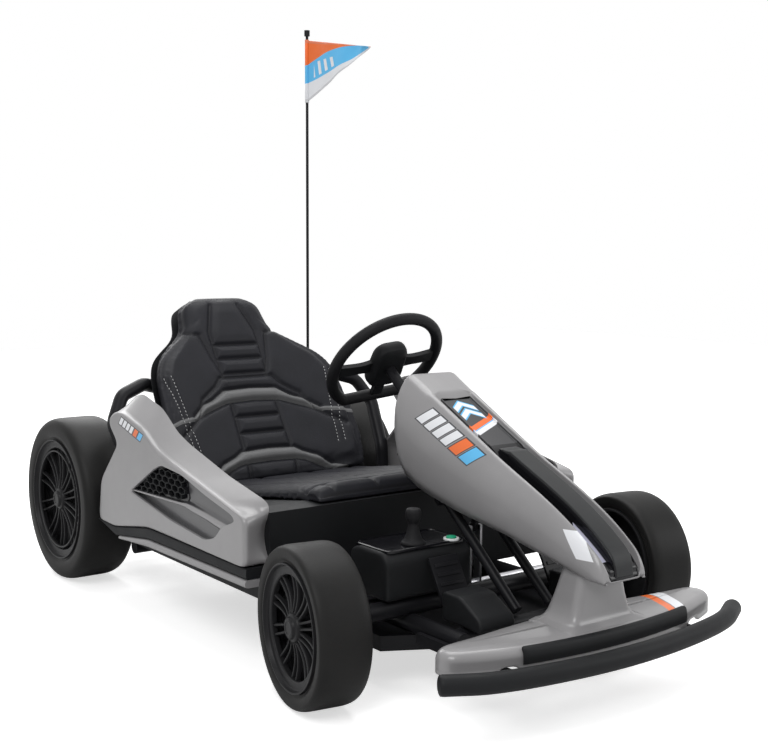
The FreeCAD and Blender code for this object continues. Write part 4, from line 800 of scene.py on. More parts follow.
# %% Strip and bumper
strip_line = plan_loop[(np.abs(plan_loop[:, 0]) < 163) & (plan_loop[:, 1] < -560)]
strip_line = strip_line[np.argsort(strip_line[:, 0])]
ahead = np.gradient(strip_line, axis=0)
ahead = np.stack([ahead[:, 1], -ahead[:, 0]], axis=-1) / np.linalg.norm(ahead, axis=1)[:, None]
section = rounded([(0.1, 100.5), (4.6, 101.5), (4.6, 112), (1, 121.6), (-6, 123.8), (-8, 121)],
                  [0.5, 2, 5, 4, 1, 1])
slim = np.ones(len(strip_line))
slim[[0, -1]] = 0.6
plan_rows = strip_line[:, None] + ahead[:, None] * (section[None, :, :1] * slim[:, None, None])
strip = xyz(plan_rows[..., 0], plan_rows[..., 1], section[:, 1])
make("wing_strip_cover", Form().tube(strip), GRAIN, ["wing_strip"])
bumper_line = bent([(-293, -587, 94.5), (-215, -631, 94.5), (0, -657, 94.5), (215, -631, 94.5),
                    (293, -587, 94.5)], [0, 110, 300, 110, 0], 16)
bumper = Form().tube(swept(even(bumper_line, 90), 14, dome=0.3))
make("bumper_pad", bumper, GRAIN, ["front_bumper"], 50)

# %% [markdown]
# ## Seat frame and seams
# The bucket seat is a padded back with high side bolsters and a low cushion. Its cover is sewn
# from black panels with two arched grey bands, ribbed panels down the middle, and white stitching
# along the bolsters. All seams are written once, as lines of points in the back's own plane:
# x across the seat and up along the back, from its foot. Half of a line is enough, because the
# seat is the same on both sides.

# %% Seat frame and seams
SEAT_FOOT = np.array([0.0, 274.0, 196.0])
SEAT_UP = np.array([0.0, 0.537, 0.843])
SEAT_OUT = np.array([0.0, -0.843, 0.537])
BACK_HALF, BACK_LENGTH, BOLSTER = 215.0, 430.0, 44
BACK_OUT = (0.953, 1.0, 1.0, 0.958, 0.874, 0.679, 0.512, 0.468, 0.452, 0.375, 0.2)
BACK_UP = (0.0, 0.14, 0.326, 0.535, 0.633, 0.726, 0.791, 0.837, 0.912, 0.972, 1.0)
UPPER_BAND = ((0, 60, 89, 113, 145, 215), (201, 198, 179, 170, 141, 120), (173, 170, 160, 150, 132, 112))
LOWER_BAND = ((0, 60, 76, 107, 135, 170), (67, 64, 54, 41, 18, 4), (40, 38, 34, 20, 8, -4))
MIDDLE_SEAMS = (
    ((32, 394), (53, 330), (53, 262), (50, 226)), ((51, 170), (54, 68)), ((54, 36), (53, -20)),
    ((0, 226), (60, 226), (74, 208), (112, 180), (134, 138), (186, 95)),
    ((48, 226), (62, 267), (76, 325), (106, 336)),
)
BAND_SEAMS = tuple(tuple(zip(band[0][:5], band[edge][:5]))
                   for band in (UPPER_BAND, LOWER_BAND) for edge in (1, 2))
RIB_SEAMS = tuple(((0, up), (51, up)) for up in (300, 268, 234, 138, 102))
STITCH_LINES = (((176, 225), (166, 152), (160, 100), (156, 60)),
                ((190, 222), (182, 165), (175, 110), (170, 60)))
UNSEWN = 50.0


def bolster(across):
    """How far the side bolsters stand out: BOLSTER times the share of the way out to the power 1.6."""
    share = np.clip((np.abs(across) / BACK_HALF - 0.42) / 0.58, 0, 1)
    return BOLSTER * share ** 1.6


def seam_gap(across, up, lines):
    """The distance from each point (|x|, up) to the nearest straight piece of any of the lines."""
    spot = np.stack([np.abs(across), up], axis=-1)
    nearest = np.full(len(spot), 1e3)
    for line in lines:
        for start, end in zip(line[:-1], line[1:]):
            start, run = np.array(start, float), np.subtract(end, start).astype(float)
            share = np.clip((spot - start) @ run / (run @ run), 0, 1)
            nearest = np.minimum(nearest, np.linalg.norm(spot - start - share[:, None] * run, axis=1))
    return nearest


def band_gap(across, up, band):
    """Below 0 inside a grey band: the distance from its middle line, less half its width."""
    top = np.interp(np.abs(across), band[0], band[1])
    low = np.interp(np.abs(across), band[0], band[2])
    return np.abs(up - (top + low) / 2) - (top - low) / 2


print(len(MIDDLE_SEAMS + BAND_SEAMS + RIB_SEAMS), "seams on each half of the back")

# %% [markdown]
# ## Seat cover
# The cover is imitation leather: fine cells of grain with soft wrinkles. Where a panel is grey is
# a number that the mesh carries, the distance to the band's edge, so the colour changes exactly
# at the seam. A second number, the distance to the nearest seam, darkens the sewn valleys.


# %% Leather
def leather_finish():
    """Black or grey by the stored band, darker in the seams, with grain from cells and noise."""
    finish = Finish("seat_cover", (0.02, 0.02, 0.024), specular_ior_level=0.14)
    mottle = finish.noise(18.0, 4.0)
    black = finish.mix(mottle, (0.01, 0.0105, 0.0125), (0.02, 0.02, 0.025))
    grey = finish.mix(mottle, (0.125, 0.126, 0.129), (0.165, 0.166, 0.168))
    band = finish.stored("band").under(0.0, 0.0004)
    colour = finish.mix(band, black, grey)
    valley = finish.stored("seam").under(0.0014, 0.0016)
    finish.feed("Base Color", finish.mix(valley * 0.8, colour, (0.006, 0.006, 0.007)))
    finish.feed("Roughness", mottle * 0.12 + 0.42)
    finish.bump(finish.cells(620.0) * 0.7 + finish.noise(420.0, 3.0) * 0.5, 0.00022)
    return finish


LEATHER = leather_finish()
THREAD = grained("white_thread", (0.5, 0.5, 0.5), 0.6, 2500.0, 0.00005)
print(LEATHER.material.name, "ready")

# %% [markdown]
# ## Padding by cloth simulation
# Padding is foam that pushes a sewn cover outwards. A closed form a little smaller than the seat
# is remeshed, then Blender's cloth blows it up with a pressure for 20 frames. A point may move
# only a few millimetres, which keeps the shape. Seams come after that, pressed into the result.


# %% Padding
CLOTH_FRAMES, CLOTH_PRESSURE = 20, 4.0


def applied(piece):
    """Keep the mesh that the modifiers give, and drop the modifiers."""
    graph = bpy.context.evaluated_depsgraph_get()
    mesh = bpy.data.meshes.new_from_object(piece.evaluated_get(graph), depsgraph=graph)
    piece.modifiers.clear()
    piece.data = mesh


def smooth_copy(piece, voxel):
    """Swap the piece's mesh for one of even faces, as cloth needs."""
    fit = piece.modifiers.new("even", "REMESH")
    fit.mode = "VOXEL"
    fit.voxel_size = voxel / 1000
    applied(piece)


def spots(mesh):
    """The mesh's points as an array in millimetres."""
    flat = np.empty(len(mesh.vertices) * 3)
    mesh.vertices.foreach_get("co", flat)
    return flat.reshape(-1, 3) * 1000


def inflate(piece, cap, held):
    """Blow the piece up with cloth pressure; held(points) is 1 where the pad rests and can't move."""
    before = spots(piece.data)
    cloth = piece.modifiers.new("cloth", "CLOTH")
    cloth.settings.use_pressure = True
    cloth.settings.uniform_pressure_force = CLOTH_PRESSURE
    cloth.settings.effector_weights.gravity = 0.0
    cloth.settings.quality = 5
    for frame_number in range(1, CLOTH_FRAMES + 1):
        bpy.context.scene.frame_set(frame_number)
    applied(piece)
    bpy.context.scene.frame_set(1)
    moved = spots(piece.data) - before
    length = np.linalg.norm(moved, axis=1, keepdims=True)
    moved *= np.minimum(1, cap / np.maximum(length, 1e-6)) * (1 - held(before))[:, None]
    piece.data.vertices.foreach_set("co", ((before + moved) / 1000).ravel())
    soft = piece.modifiers.new("soft", "SUBSURF")
    soft.levels = soft.render_levels = 1
    applied(piece)
    return spots(piece.data)


def keep_spots(piece, points, **numbers):
    """Write the points back, with numbers that the material reads, in metres."""
    piece.data.vertices.foreach_set("co", (points / 1000).ravel())
    for name, values in numbers.items():
        store = piece.data.attributes.new(name, "FLOAT", "POINT")
        store.data.foreach_set("value", values / 1000)
    piece.data.polygons.foreach_set("use_smooth", [True] * len(piece.data.polygons))
    piece.data.update()


print("padding helpers ready")

# %% [markdown]
# ## Seat back
# Rows run up the back and each row is a flattened loop, a superellipse |x|^5 + |t|^5 = 1 bent by
# the bolsters. The width follows the outline, and the thickness closes like a dome at the crown.


# %% Seat back
def back_width(up):
    """Half the width at a height: the outline's rows joined by short, soft curves."""
    fine = np.linspace(-30, 30, 13)[None]
    rows = np.interp((up[:, None] + fine * 0.6) / BACK_LENGTH, BACK_UP, BACK_OUT).mean(axis=1)
    return rows * BACK_HALF


def back_loops(up, around, near, far, grow):
    """Loops between a near and a far surface, given by their height at the middle and the edge."""
    turn = np.linspace(0, 2 * np.pi, around, endpoint=False)
    side, thick = np.cos(turn), np.sin(turn)
    side, thick = np.sign(side) * np.abs(side) ** 0.4, np.sign(thick) * np.abs(thick) ** 0.4
    crown = np.sqrt(np.clip(1 - np.clip((up - 402) / 26, 0, 1) ** 2.2, 0.004, 1))
    foot = np.sqrt(np.clip(1 - np.clip((16 - up) / 16, 0, 1) ** 2.2, 0.02, 1))
    across = ((back_width(up) + grow) * (0.86 + 0.14 * crown))[:, None] * side
    share = bolster(across) / BOLSTER
    front = near[0] + (near[1] - near[0]) * share
    rear = far[0] + (far[1] - far[0]) * share
    out = (front + rear) / 2 + thick * (front - rear) / 2 * (crown * foot)[:, None]
    points = SEAT_FOOT + across[..., None] * [1, 0, 0] + up[:, None, None] * SEAT_UP
    return points + out[..., None] * SEAT_OUT


def on_shell(spot):
    """1 on the pad's rear side, which lies on the shell."""
    return ((spot - SEAT_FOOT) @ SEAT_OUT < bolster(spot[:, 0]) - 30) * 1.0


back_rise = np.concatenate([np.linspace(0.5, 16, 7), np.linspace(22, 396, 64),
                            402 + 26 * np.sin(np.linspace(0, np.pi / 2, 9))])
form = Form().tube(back_loops(back_rise, 120, (-3, 41), (-47, 11), -3.0))
back = make("seat_back_pad", form, LEATHER, ["seat_back"])
smooth_copy(back, 5.0)

# %% [markdown]
# ### Seams in the back
# A seam is a narrow valley in a wide one, exp(-(gap / width)^2) of the distance to its line. The
# panels between the seams swell a little more, and so do the two grey bands.

# %% Seams in the back
points = inflate(back, 6.0, on_shell)
across = points[:, 0]
local = points - SEAT_FOOT
up, out = local @ SEAT_UP, local @ SEAT_OUT
front = step_up(out - bolster(across), -26, -14)
seam = seam_gap(across, up, MIDDLE_SEAMS + BAND_SEAMS + RIB_SEAMS)
stitch = seam_gap(across, up, STITCH_LINES)
middle = step_up(np.abs(across), 58, 46)
press = 4.6 * np.exp(-(seam / 4.2) ** 2) + 2.0 * np.exp(-(seam / 12) ** 2)
press += 1.2 * np.exp(-(stitch / 3.0) ** 2)
panel = 3.0 * np.clip(seam / 20, 0, 1) ** 0.6 * middle * step_up(400 - up, 0, 30)
band = np.minimum(band_gap(across, up, UPPER_BAND), band_gap(across, up, LOWER_BAND))
band_puff = 3.2 * step_up(-band, 0, 9)
points += ((panel + band_puff - press) * front)[:, None] * SEAT_OUT
keep_spots(back, points, band=np.where(front > 0.3, band, UNSEWN),
           seam=np.where(front > 0.3, seam, UNSEWN))
print("seat back", len(back.data.vertices), "points")

# %% [markdown]
# ## Stitches
# The white stitching is real thread: short capsules laid in pairs of lines along both bolsters.
# Each one is a small ellipsoid on the cover, found by shooting a ray onto the inflated back.


# %% Stitches
def stitched(name, lines, surface, spread):
    """Ellipsoid stitches 4.6 mm long every 7 mm along lines, dropped onto a surface."""
    turn = np.linspace(0, 2 * np.pi, 6, endpoint=False)
    slim = np.sin(np.linspace(0.15, np.pi - 0.15, 5))
    run = np.linspace(-2.3, 2.3, 5)
    form = Form()
    for line in lines:
        length = np.linalg.norm(np.diff(line, axis=0), axis=1).sum()
        track = even(np.array(line, float), int(length / 7))
        way = np.gradient(track, axis=0)
        way /= np.linalg.norm(way, axis=1, keepdims=True)
        for mirror in (-1, 1):
            for spot, along in zip(track, way):
                place, direction = spread(spot, along, mirror)
                hit, normal = surface(place)
                if hit is None:
                    continue
                side = np.cross(normal, direction)
                ring = side * np.cos(turn)[:, None] * 0.75 + normal * np.sin(turn)[:, None] * 0.75
                form.tube(hit + run[:, None, None] * direction + ring * slim[:, None, None])
    return make(name, form, THREAD, angle=80)


def onto(piece, towards):
    """Give a function that drops a point onto the piece along a direction, in millimetres."""
    work = bmesh.new()
    work.from_mesh(piece.data)
    tree = BVHTree.FromBMesh(work)
    work.free()

    def land(place):
        start = Vector((place - towards * 150) / 1000)
        hit, normal, face, distance = tree.ray_cast(start, Vector(towards))
        return (None, None) if hit is None else (np.array(hit) * 1000, np.array(normal))
    return land


def on_back(spot, along, mirror):
    """A place and a direction in the back's own plane, in the kart's frame."""
    place = SEAT_FOOT + np.array([mirror * spot[0], 0, 0]) + spot[1] * SEAT_UP
    return place, np.array([mirror * along[0], 0, 0]) + along[1] * SEAT_UP


stitched("bolster_stitches", STITCH_LINES, onto(back, -SEAT_OUT), on_back)

# %% [markdown]
# ## Seat cushion
# The cushion is a wedge that gets thinner towards the back, with a roll along its front edge. Its
# side profile is one rounded loop, carried across the kart. The sides pull in between the corners.

# %% Seat cushion
CUSHION_HALF = 207.5
BASE_PLACES = (-196, -150, 254, 270)


def base_level(place, ahead=250, behind=187):
    """The height of the seat base under the cushion: level, a straight slope, level."""
    return np.interp(place, BASE_PLACES, (ahead, ahead, behind, behind))


def on_base(spot):
    """1 where the cushion rests on the base."""
    return (spot[:, 2] < base_level(spot[:, 1], 254, 190)) * 1.0


side_profile = rounded([(-193, 250), (-193, 262), (-182, 274), (-146, 269), (222, 206), (254, 203),
                        (266, 195), (264, 190), (252, 187), (-150, 251)],
                       [2, 8, 10, 14, 30, 6, 4, 2, 4, 10], 8)
side_profile = even(side_profile, 170, closed=True)
under = base_level(side_profile[:, 0])
reach = np.sin(np.linspace(-np.pi / 2, np.pi / 2, 61))
crown = ((1 - np.abs(reach) ** 7) ** 0.28)[:, None]
loops = xyz(CUSHION_HALF * reach[:, None],
            side_profile[:, 0] + np.sign(-side_profile[:, 0]) * (1 - crown) * 3,
            under + (side_profile[:, 1] - under) * (0.25 + 0.75 * crown))
cushion = make("seat_cushion_pad", Form().tube(loops), LEATHER, ["seat_cushion"])
smooth_copy(cushion, 4.5)
points = inflate(cushion, 3.0, on_base)

# %% [markdown]
# ### Seams in the cushion
# The cushion's seams are pressed in as the back's are, as lines of points (|x|, y) seen from above:
# across the front roll, along both sides of the ribbed middle, and the ribs.

# %% Seams in the cushion
CUSHION_SEAMS = (((0, -147), (215, -147)), ((56, -147), (56, 270)), ((150, -147), (165, 100), (150, 270)),
                 ((92, -196), (92, -147)), ((176, -196), (176, -147)), ((0, -187), (215, -187)))
CUSHION_RIBS = tuple(((0, place), (56, place)) for place in range(-60, 131, 38))
level = step_up(points[:, 2] - base_level(points[:, 1]), 6, 12)
seam = seam_gap(points[:, 0], points[:, 1], CUSHION_SEAMS + CUSHION_RIBS)
points[:, 2] -= level * (3.6 * np.exp(-(seam / 4.0) ** 2) + 1.4 * np.exp(-(seam / 11) ** 2) - 1.0)
edge = np.clip((np.abs(points[:, 0]) - 165) / 40, 0, 1)
points[:, 2] -= level * edge ** 2 * 2.0
keep_spots(cushion, points, band=np.full(len(points), UNSEWN), seam=np.where(level > 0.3, seam, UNSEWN))
print("cushion", len(cushion.data.vertices), "points")

# %% [markdown]
# ## Seat shell
# Behind the padding is a thin hard shell of the same outline, 4 mm thick, with a rolled edge.

# %% Seat shell
shell_rise = np.concatenate([[-3.5], np.linspace(0.5, 16, 5), np.linspace(22, 396, 50),
                             402 + 27.5 * np.sin(np.linspace(0, np.pi / 2, 8))])
shell_loops = back_loops(shell_rise, 140, (-51.6, 6.4), (-55.4, 2.6), 3.6)
make("seat_shell_skin", Form().tube(shell_loops), GRAIN, ["seat_shell"], 50)

# %% [markdown]
# ## Steering wheel hub
# The hub is a faceted block with soft edges on the column, and three flat spokes reach from it
# to the ring. It is drawn in the column's own frame and then turned with the steering.

# %% Steering hub
COLUMN_FOOT = np.array([0.0, -346.0, 226.1])
SLOPE = math.radians(40)
COLUMN_AXES = np.array([[1, 0, 0], [0, math.sin(SLOPE), -math.cos(SLOPE)],
                        [0, math.cos(SLOPE), math.sin(SLOPE)]])
HUB_RUN = 349.9


def on_column(points):
    """Points (across, down the wheel, up the column) turned as steered and put on the column."""
    return COLUMN_FOOT + points @ FRONT_TURN.T @ COLUMN_AXES


HUB_OUTLINE = [(-18, -45.5), (-30, -35), (-33.5, 29), (-22, 45.5), (22, 45.5), (33.5, 29), (30, -35),
               (18, -45.5)]
hub_loop = even(rounded(HUB_OUTLINE, 9, 6), 80, closed=True)
hub_rows = np.array([(-19, 0.55), (-18.6, 0.8), (-15, 0.93), (-10, 0.985), (-2, 1.0), (2, 0.985), (5, 0.95),
                     (6.6, 0.88), (7, 0.78), (6.4, 0.72), (6.2, 0.4)])
level, share = hub_rows.T[..., None]
form = Form().tube(on_column(xyz(hub_loop[:, 0] * share, hub_loop[:, 1] * share, HUB_RUN + level)))
for way in ((1, 0), (-1, 0), (0, 1)):
    along = np.linspace(20, 92 if way[0] else 72, 12)
    wide = np.interp(along, [20, 50, 92], [13, 9.5, 11])
    section = rounded([(-1, -4.5), (1, -4.5), (1, 4.5), (-1, 4.5)], 0.4, 4)
    across = section[:, 0] * wide[:, None]
    level = HUB_RUN - 2 + section[:, 1] - 3 * np.sin(np.pi * (along - 20) / 72)[:, None] * 0.6
    forward = along[:, None]
    points = xyz(forward * way[0], across, level) if way[0] else xyz(across, forward, level)
    form.tube(on_column(points))
make("steering_hub_cover", form, GRAIN, ["steering_hub"], 30, "steering")

# %% [markdown]
# ## Side pods
# Each pod is a hollow moulding beside the seat: a broad face, a sloping top that joins the seat
# base, a window with a honeycomb vent, and two long channels with a ridge between them that fade
# out towards the front. Face, root and window are three outlines about one middle, so the whole
# pod is one grid: columns are directions from the middle and rows run from the window outwards.

# %% Pod outlines
POD_FRONT, POD_LENGTH, POD_BOTTOM, POD_HEIGHT = -196.0, 546.0, 146.0, 240.0
POD_FACE, POD_ROOT = 345.0, 301.0
POD_MIDDLE = np.array([0.495, 0.392])
FACE_ROWS = ((0.0, 0.092), (0.004, 0.25), (0.0, 0.408), (0.225, 0.517), (0.471, 0.633), (0.548, 0.683),
             (0.641, 0.8), (0.788, 0.882), (0.855, 0.865), (0.897, 0.792), (0.824, 0.642), (0.963, 0.321),
             (0.985, 0.008), (0.859, 0.0), (0.711, 0.058), (0.617, 0.092))
ROOT_ROWS = ((0.0, 0.092), (0.028, 0.2), (0.034, 0.3), (0.0, 0.45), (0.02, 0.492), (0.225, 0.579),
             (0.471, 0.721), (0.548, 0.783), (0.648, 0.925), (0.788, 1.0), (0.861, 0.967), (0.916, 0.817),
             (0.835, 0.65), (0.978, 0.333), (1.0, 0.008), (0.859, 0.0), (0.711, 0.058), (0.617, 0.092))
WINDOW_ROWS = ((0.727, 0.317), (0.559, 0.529), (0.509, 0.575), (0.372, 0.554), (0.223, 0.47), (0.073, 0.404),
               (0.055, 0.367), (0.132, 0.304), (0.172, 0.213), (0.233, 0.175), (0.447, 0.217))
VENT_ROWS = ((0.72, 0.325), (0.555, 0.522), (0.509, 0.568), (0.376, 0.548), (0.356, 0.378))
RIDGE_LINE = ((-196, -146, -76, 0, 210), (213, 215, 224, 231, 224))


def on_pod(rows):
    """Shares of the pod's length and height become places (y, z)."""
    return np.array([POD_FRONT, POD_BOTTOM]) + np.asarray(rows, float) * [POD_LENGTH, POD_HEIGHT]


def outline_reach(outline, middle, turn):
    """How far each direction goes from the middle before it meets the outline."""
    start = np.asarray(outline)[None]
    run = np.roll(outline, -1, axis=0)[None] - start
    way = np.stack([np.cos(turn), np.sin(turn)], axis=-1)[:, None]
    gap = start - middle
    cross = way[..., 0] * run[..., 1] - way[..., 1] * run[..., 0]
    cross = np.where(np.abs(cross) < 1e-9, 1e-9, cross)
    far = (gap[..., 0] * run[..., 1] - gap[..., 1] * run[..., 0]) / cross
    share = (gap[..., 0] * way[..., 1] - gap[..., 1] * way[..., 0]) / cross
    hit = (share >= -1e-6) & (share <= 1 + 1e-6) & (far > 0)
    return np.where(hit, far, 0).max(axis=1)


def pan_depth(y, z):
    """The recess: a ramp that sinks towards the rear, less a ridge that stands up along its middle."""
    ramp = np.interp(y, [-180, -150, -110, -20, 60, 210], [5.0, 6.5, 8.0, 10.5, 12.4, 12.6])
    wide = np.interp(y, [-180, -20, 20, 210], [8.0, 6.0, 3.0, 2.6])
    ridge = np.exp(-(np.abs(z - np.interp(y, *RIDGE_LINE)) / wide) ** 4)
    return ramp * (1 - 0.8 * ridge)


pod_turn = np.linspace(0, 2 * np.pi, 640, endpoint=False)
pod_middle = on_pod(POD_MIDDLE)
face_reach = outline_reach(rounded(on_pod(FACE_ROWS), 16, 6), pod_middle, pod_turn)
root_reach = outline_reach(rounded(on_pod(ROOT_ROWS), 14, 6), pod_middle, pod_turn)
window_reach = outline_reach(rounded(on_pod(WINDOW_ROWS), 12, 6), pod_middle, pod_turn)
direction = np.stack([np.cos(pod_turn), np.sin(pod_turn)], axis=-1)
print("pod window is", round(window_reach.max()), "mm from the middle at most")

# %% [markdown]
# ### Pod skin
# A pod is a moulded shell, open towards the seat. Rows: the pan from its middle to the window, the
# window's small rounded edge, the flat face, a round shoulder 7 mm wide and the sloping sides, then
# back along the inner surface, 2 to 6 mm below the outer one, to the middle of the pan.


# %% Pod skin
PAN_SHEET, FACE_SHEET, SIDE_SHEET, SHOULDER = 2, 3, 6, 7


def pan_rows(reach, sheet):
    """Rows at shares of the window's reach, as deep as the recess and its sheet are."""
    place = pod_middle + reach[..., None] * direction
    return xyz(POD_FACE - sheet - pan_depth(place[..., 0], place[..., 1]), place[..., 0], place[..., 1])


def side_rows_of(down, sheet):
    """(level, reach) on the sloping side: the face's and the root's outlines, mixed by the share down."""
    slope = POD_FACE - SHOULDER - (POD_FACE - SHOULDER - POD_ROOT) * down
    return slope, face_reach * (1 - down) + root_reach * down - sheet


def pod_grid(sign):
    """All rows of a pod, from the middle of the pan outside to its middle inside."""
    bend = np.linspace(0, np.pi / 2, 5)[:, None]
    spread = np.linspace(0.06, 0.94, 9)[:, None]
    shoulder = np.linspace(0, np.pi / 2, 7)[:, None]
    down = np.linspace(0.1, 1, 7)[:, None]
    inner_edges = np.stack([np.maximum(face_reach - 12, window_reach + 4), window_reach + 3])
    parts = [
        (POD_FACE - 1.6 * (1 - np.sin(bend)), window_reach + 1.4 * (1 - np.cos(bend)) + 0.3),
        (POD_FACE, (window_reach + 2) * (1 - spread) + (face_reach - 8) * spread),
        (POD_FACE - SHOULDER * (1 - np.cos(shoulder)), face_reach - SHOULDER * (1 - np.sin(shoulder))),
        side_rows_of(down, 0),
        side_rows_of(down[::-1][::2], SIDE_SHEET),
        (POD_FACE - FACE_SHEET, inner_edges),
    ]
    rows = [pan_rows(np.linspace(0.0, 1.0, 60)[:, None] * window_reach, 0)]
    for level, reach in parts:
        place = pod_middle + reach[..., None] * direction
        rows.append(xyz(level, place[..., 0], place[..., 1]))
    rows.append(pan_rows(np.linspace(1.0, 0.0, 16)[:, None] * (window_reach + 3), PAN_SHEET))
    return np.concatenate(rows) * [sign, 1, 1]


for side, sign in (("right", -1), ("left", 1)):
    pod = make("pod_" + side, Form().grid(pod_grid(sign), around=True), POD_PAINT,
               ["side_panel_" + side], 34)
    # Each point's depth below the face, inside the window, is stored for the paint, which darkens the deep
    # recess as painted shade.
    place = spots(pod.data)
    from_middle = place[:, 1:] - pod_middle
    bearing = np.arctan2(from_middle[:, 1], from_middle[:, 0]) % (2 * np.pi)
    edge = np.interp(bearing, pod_turn, window_reach, period=2 * np.pi)
    within = np.linalg.norm(from_middle, axis=1) < edge + 1
    keep_spots(pod, place, sunk=np.where(within, POD_FACE - np.abs(place[:, 0]), 0.0))

# %% [markdown]
# ### Vent
# The vent is a honeycomb of long cells, twice as wide as high, with thin walls over a black plate.
# One cell is a ring of 6 corners by 4 edges, and it is repeated inside the vent's outline.


# %% Vent
def inside(outline, places):
    """Whether points lie in an outline: an odd number of its edges lies to their right."""
    start, end = outline[None], np.roll(outline, -1, axis=0)[None]
    y, z = places[:, None, 0], places[:, None, 1]
    crossing = (start[..., 1] > z) != (end[..., 1] > z)
    span = np.where(end[..., 1] == start[..., 1], 1e-9, end[..., 1] - start[..., 1])
    crossed = start[..., 0] + (z - start[..., 1]) / span * (end[..., 0] - start[..., 0])
    return (crossing & (crossed > y)).sum(axis=1) % 2 == 1


PITCH = 11.5
CELL_WALL = np.array(((341.0, 6.8), (341.0, 5.7), (335.6, 5.5), (335.6, 6.8)))
vent_outline = on_pod(VENT_ROWS)
vent_middle = vent_outline.mean(axis=0)
columns, rows = np.meshgrid(np.arange(40), np.arange(16))
cells = xyz(-20 + (columns + 0.5 * (rows % 2)) * PITCH * 2, 222 + rows * PITCH * 0.866).reshape(-1, 2)
cells = cells[inside(vent_outline + (vent_outline - vent_middle) * -0.08, cells)]
six = np.pi / 6 + np.arange(6) * np.pi / 3
level, size = CELL_WALL.T[..., None]
honeycomb, plates = Form(), Form()
for sign in (-1, 1):
    for y, z in cells:
        honeycomb.ring(xyz(sign * level, y + np.cos(six) * 2 * size, z + np.sin(six) * size))
    reach = outline_reach(vent_outline, vent_middle, pod_turn[::10]) + 3
    loop = vent_middle + reach[:, None] * direction[::10]
    plates.tube(xyz(sign * np.array([[333.6], [335.4]]), loop[:, 0], loop[:, 1]))
make("vent_honeycomb", honeycomb, GRAIN, ["side_meshes"], 20)
make("vent_plate", plates, GLOSS)

# %% [markdown]
# ### Sills and lips
# Under each pod runs a black sill and below it a grey lip. Both are rounded bars whose upper and
# lower edges follow their own lines along the kart.


# %% Sills and lips
def bar(places, low, high, inner, outer, radius, sign):
    """A bar along y: a rounded rectangle whose top and bottom are functions of the place."""
    place = np.linspace(places[0], places[-1], 60)
    bottom, top = np.interp(place, places, low), np.interp(place, places, high)
    loop = rounded(outlines_of([(inner, bottom), (outer, bottom), (outer, top), (inner, top)]), radius)
    return xyz(loop[..., 0] * sign, place[:, None], loop[..., 1])


sills, lips = Form(), Form()
for sign in (-1, 1):
    sills.tube(bar((-195, 141, 192, 273, 346), (151, 148, 140.5, 129, 146.5), (167, 167, 159, 145.3, 148),
                   302, 342.5, 4, sign))
    lips.tube(bar((-195.5, 141, 254), (138, 134, 126), (150, 147, 132.5), 302, 344.8, 6, sign))
make("pod_sills", sills, GRAIN, ["side_sills"], 40)
make("pod_lips", lips, PAINT, ["side_lips"], 40)

# %% [markdown]
# ## Console, pedals and lever
# The black mouldings around the driver's feet are blocks with soft edges. One function makes them:
# a convex side outline is carried across the kart, drawn in along a quarter circle at both ends.


# %% Blocks
def block(outline, left, right, radius, corner):
    """A prism across x. Its ends step in from the outline by radius (1 - sin a), and then close."""
    loop = even(rounded(outline, corner, 6), 96, closed=True)
    middle = loop.mean(axis=0)
    way = middle - loop
    way /= np.linalg.norm(way, axis=1, keepdims=True)
    bend = np.linspace(0, np.pi / 2, 6)
    flat = [30, 12, 4] if radius < 4 else [radius + 26, radius + 10]
    inset = np.concatenate([flat, radius * (1 - np.sin(bend))])
    place = np.concatenate([np.zeros(len(flat)), radius * (1 - np.cos(bend))])
    inset = np.concatenate([inset, inset[::-1]])
    across = np.concatenate([left + place, right - place[::-1]])
    limit = np.linalg.norm(loop - middle, axis=1).min() * 0.9
    drawn = loop[None] + way[None] * np.minimum(inset, limit)[:, None, None]
    return xyz(across[:, None], drawn[..., 0], drawn[..., 1])


print("blocks ready")

# %% [markdown]
# ### Console, lever and button
# The console is a block with a glossy deck, whose rim is five loops drawn in towards its middle.
# The lever's gaiter and the button are profiles turned about a vertical line.


# %% Console, lever and button
def upright(profile, centre, steps=48):
    """Turn a (radius, height) profile about a vertical line at the centre."""
    turn = np.linspace(0, 2 * np.pi, steps, endpoint=False)[:, None]
    radius, height = profile[None, :, 0], profile[None, :, 1]
    return xyz(centre[0] + radius * np.cos(turn), centre[1] + radius * np.sin(turn), height)


CONSOLE = [(-362, 131), (-268, 131), (-268, 196), (-290, 204), (-350, 204), (-362, 192)]
make("console_body", Form().tube(block(CONSOLE, -206, -44, 7, 9)), GRAIN, ["console_box"], 40)
x, y = rounded([(-201, -356), (-50, -356), (-50, -272), (-201, -272)], 12, 6).T
DECK_RIM = np.array(((201.5, 0), (205.2, 0.4), (206, 1.6), (206, 4.5), (204.6, 5.2)))
DECK_REACH, DECK_MIDDLE = 90, (-125, -314)
level, inset = DECK_RIM.T[..., None]
deck = xyz(*(side * (1 - inset / DECK_REACH) + middle * inset / DECK_REACH
             for side, middle in zip((x, y), DECK_MIDDLE)), level)
make("console_deck", Form().tube(deck), GLOSS, angle=40)
knob = [(0.01, 205), (19, 205), (18.5, 208), (14, 212), (11, 219), (8.5, 228), (7.5, 236), (10, 240),
        (12, 246), (12, 254), (10, 258.4), (0.01, 259)]
knob = rounded(knob, [0, 1, 2, 6, 8, 8, 3, 3, 4, 3, 2, 0], 5)
BUTTON_PLACE = (-74, -348)
collar = rounded([(0.01, 205), (12.5, 205), (12, 208.4), (9.4, 208.8), (9, 207), (0.01, 207)],
                 [0, 1, 1, 1, 1, 0], 4)
cap = rounded([(0.01, 206.6), (8, 206.6), (7.7, 211), (0.01, 212)], [0, 1, 1.5, 0], 4)
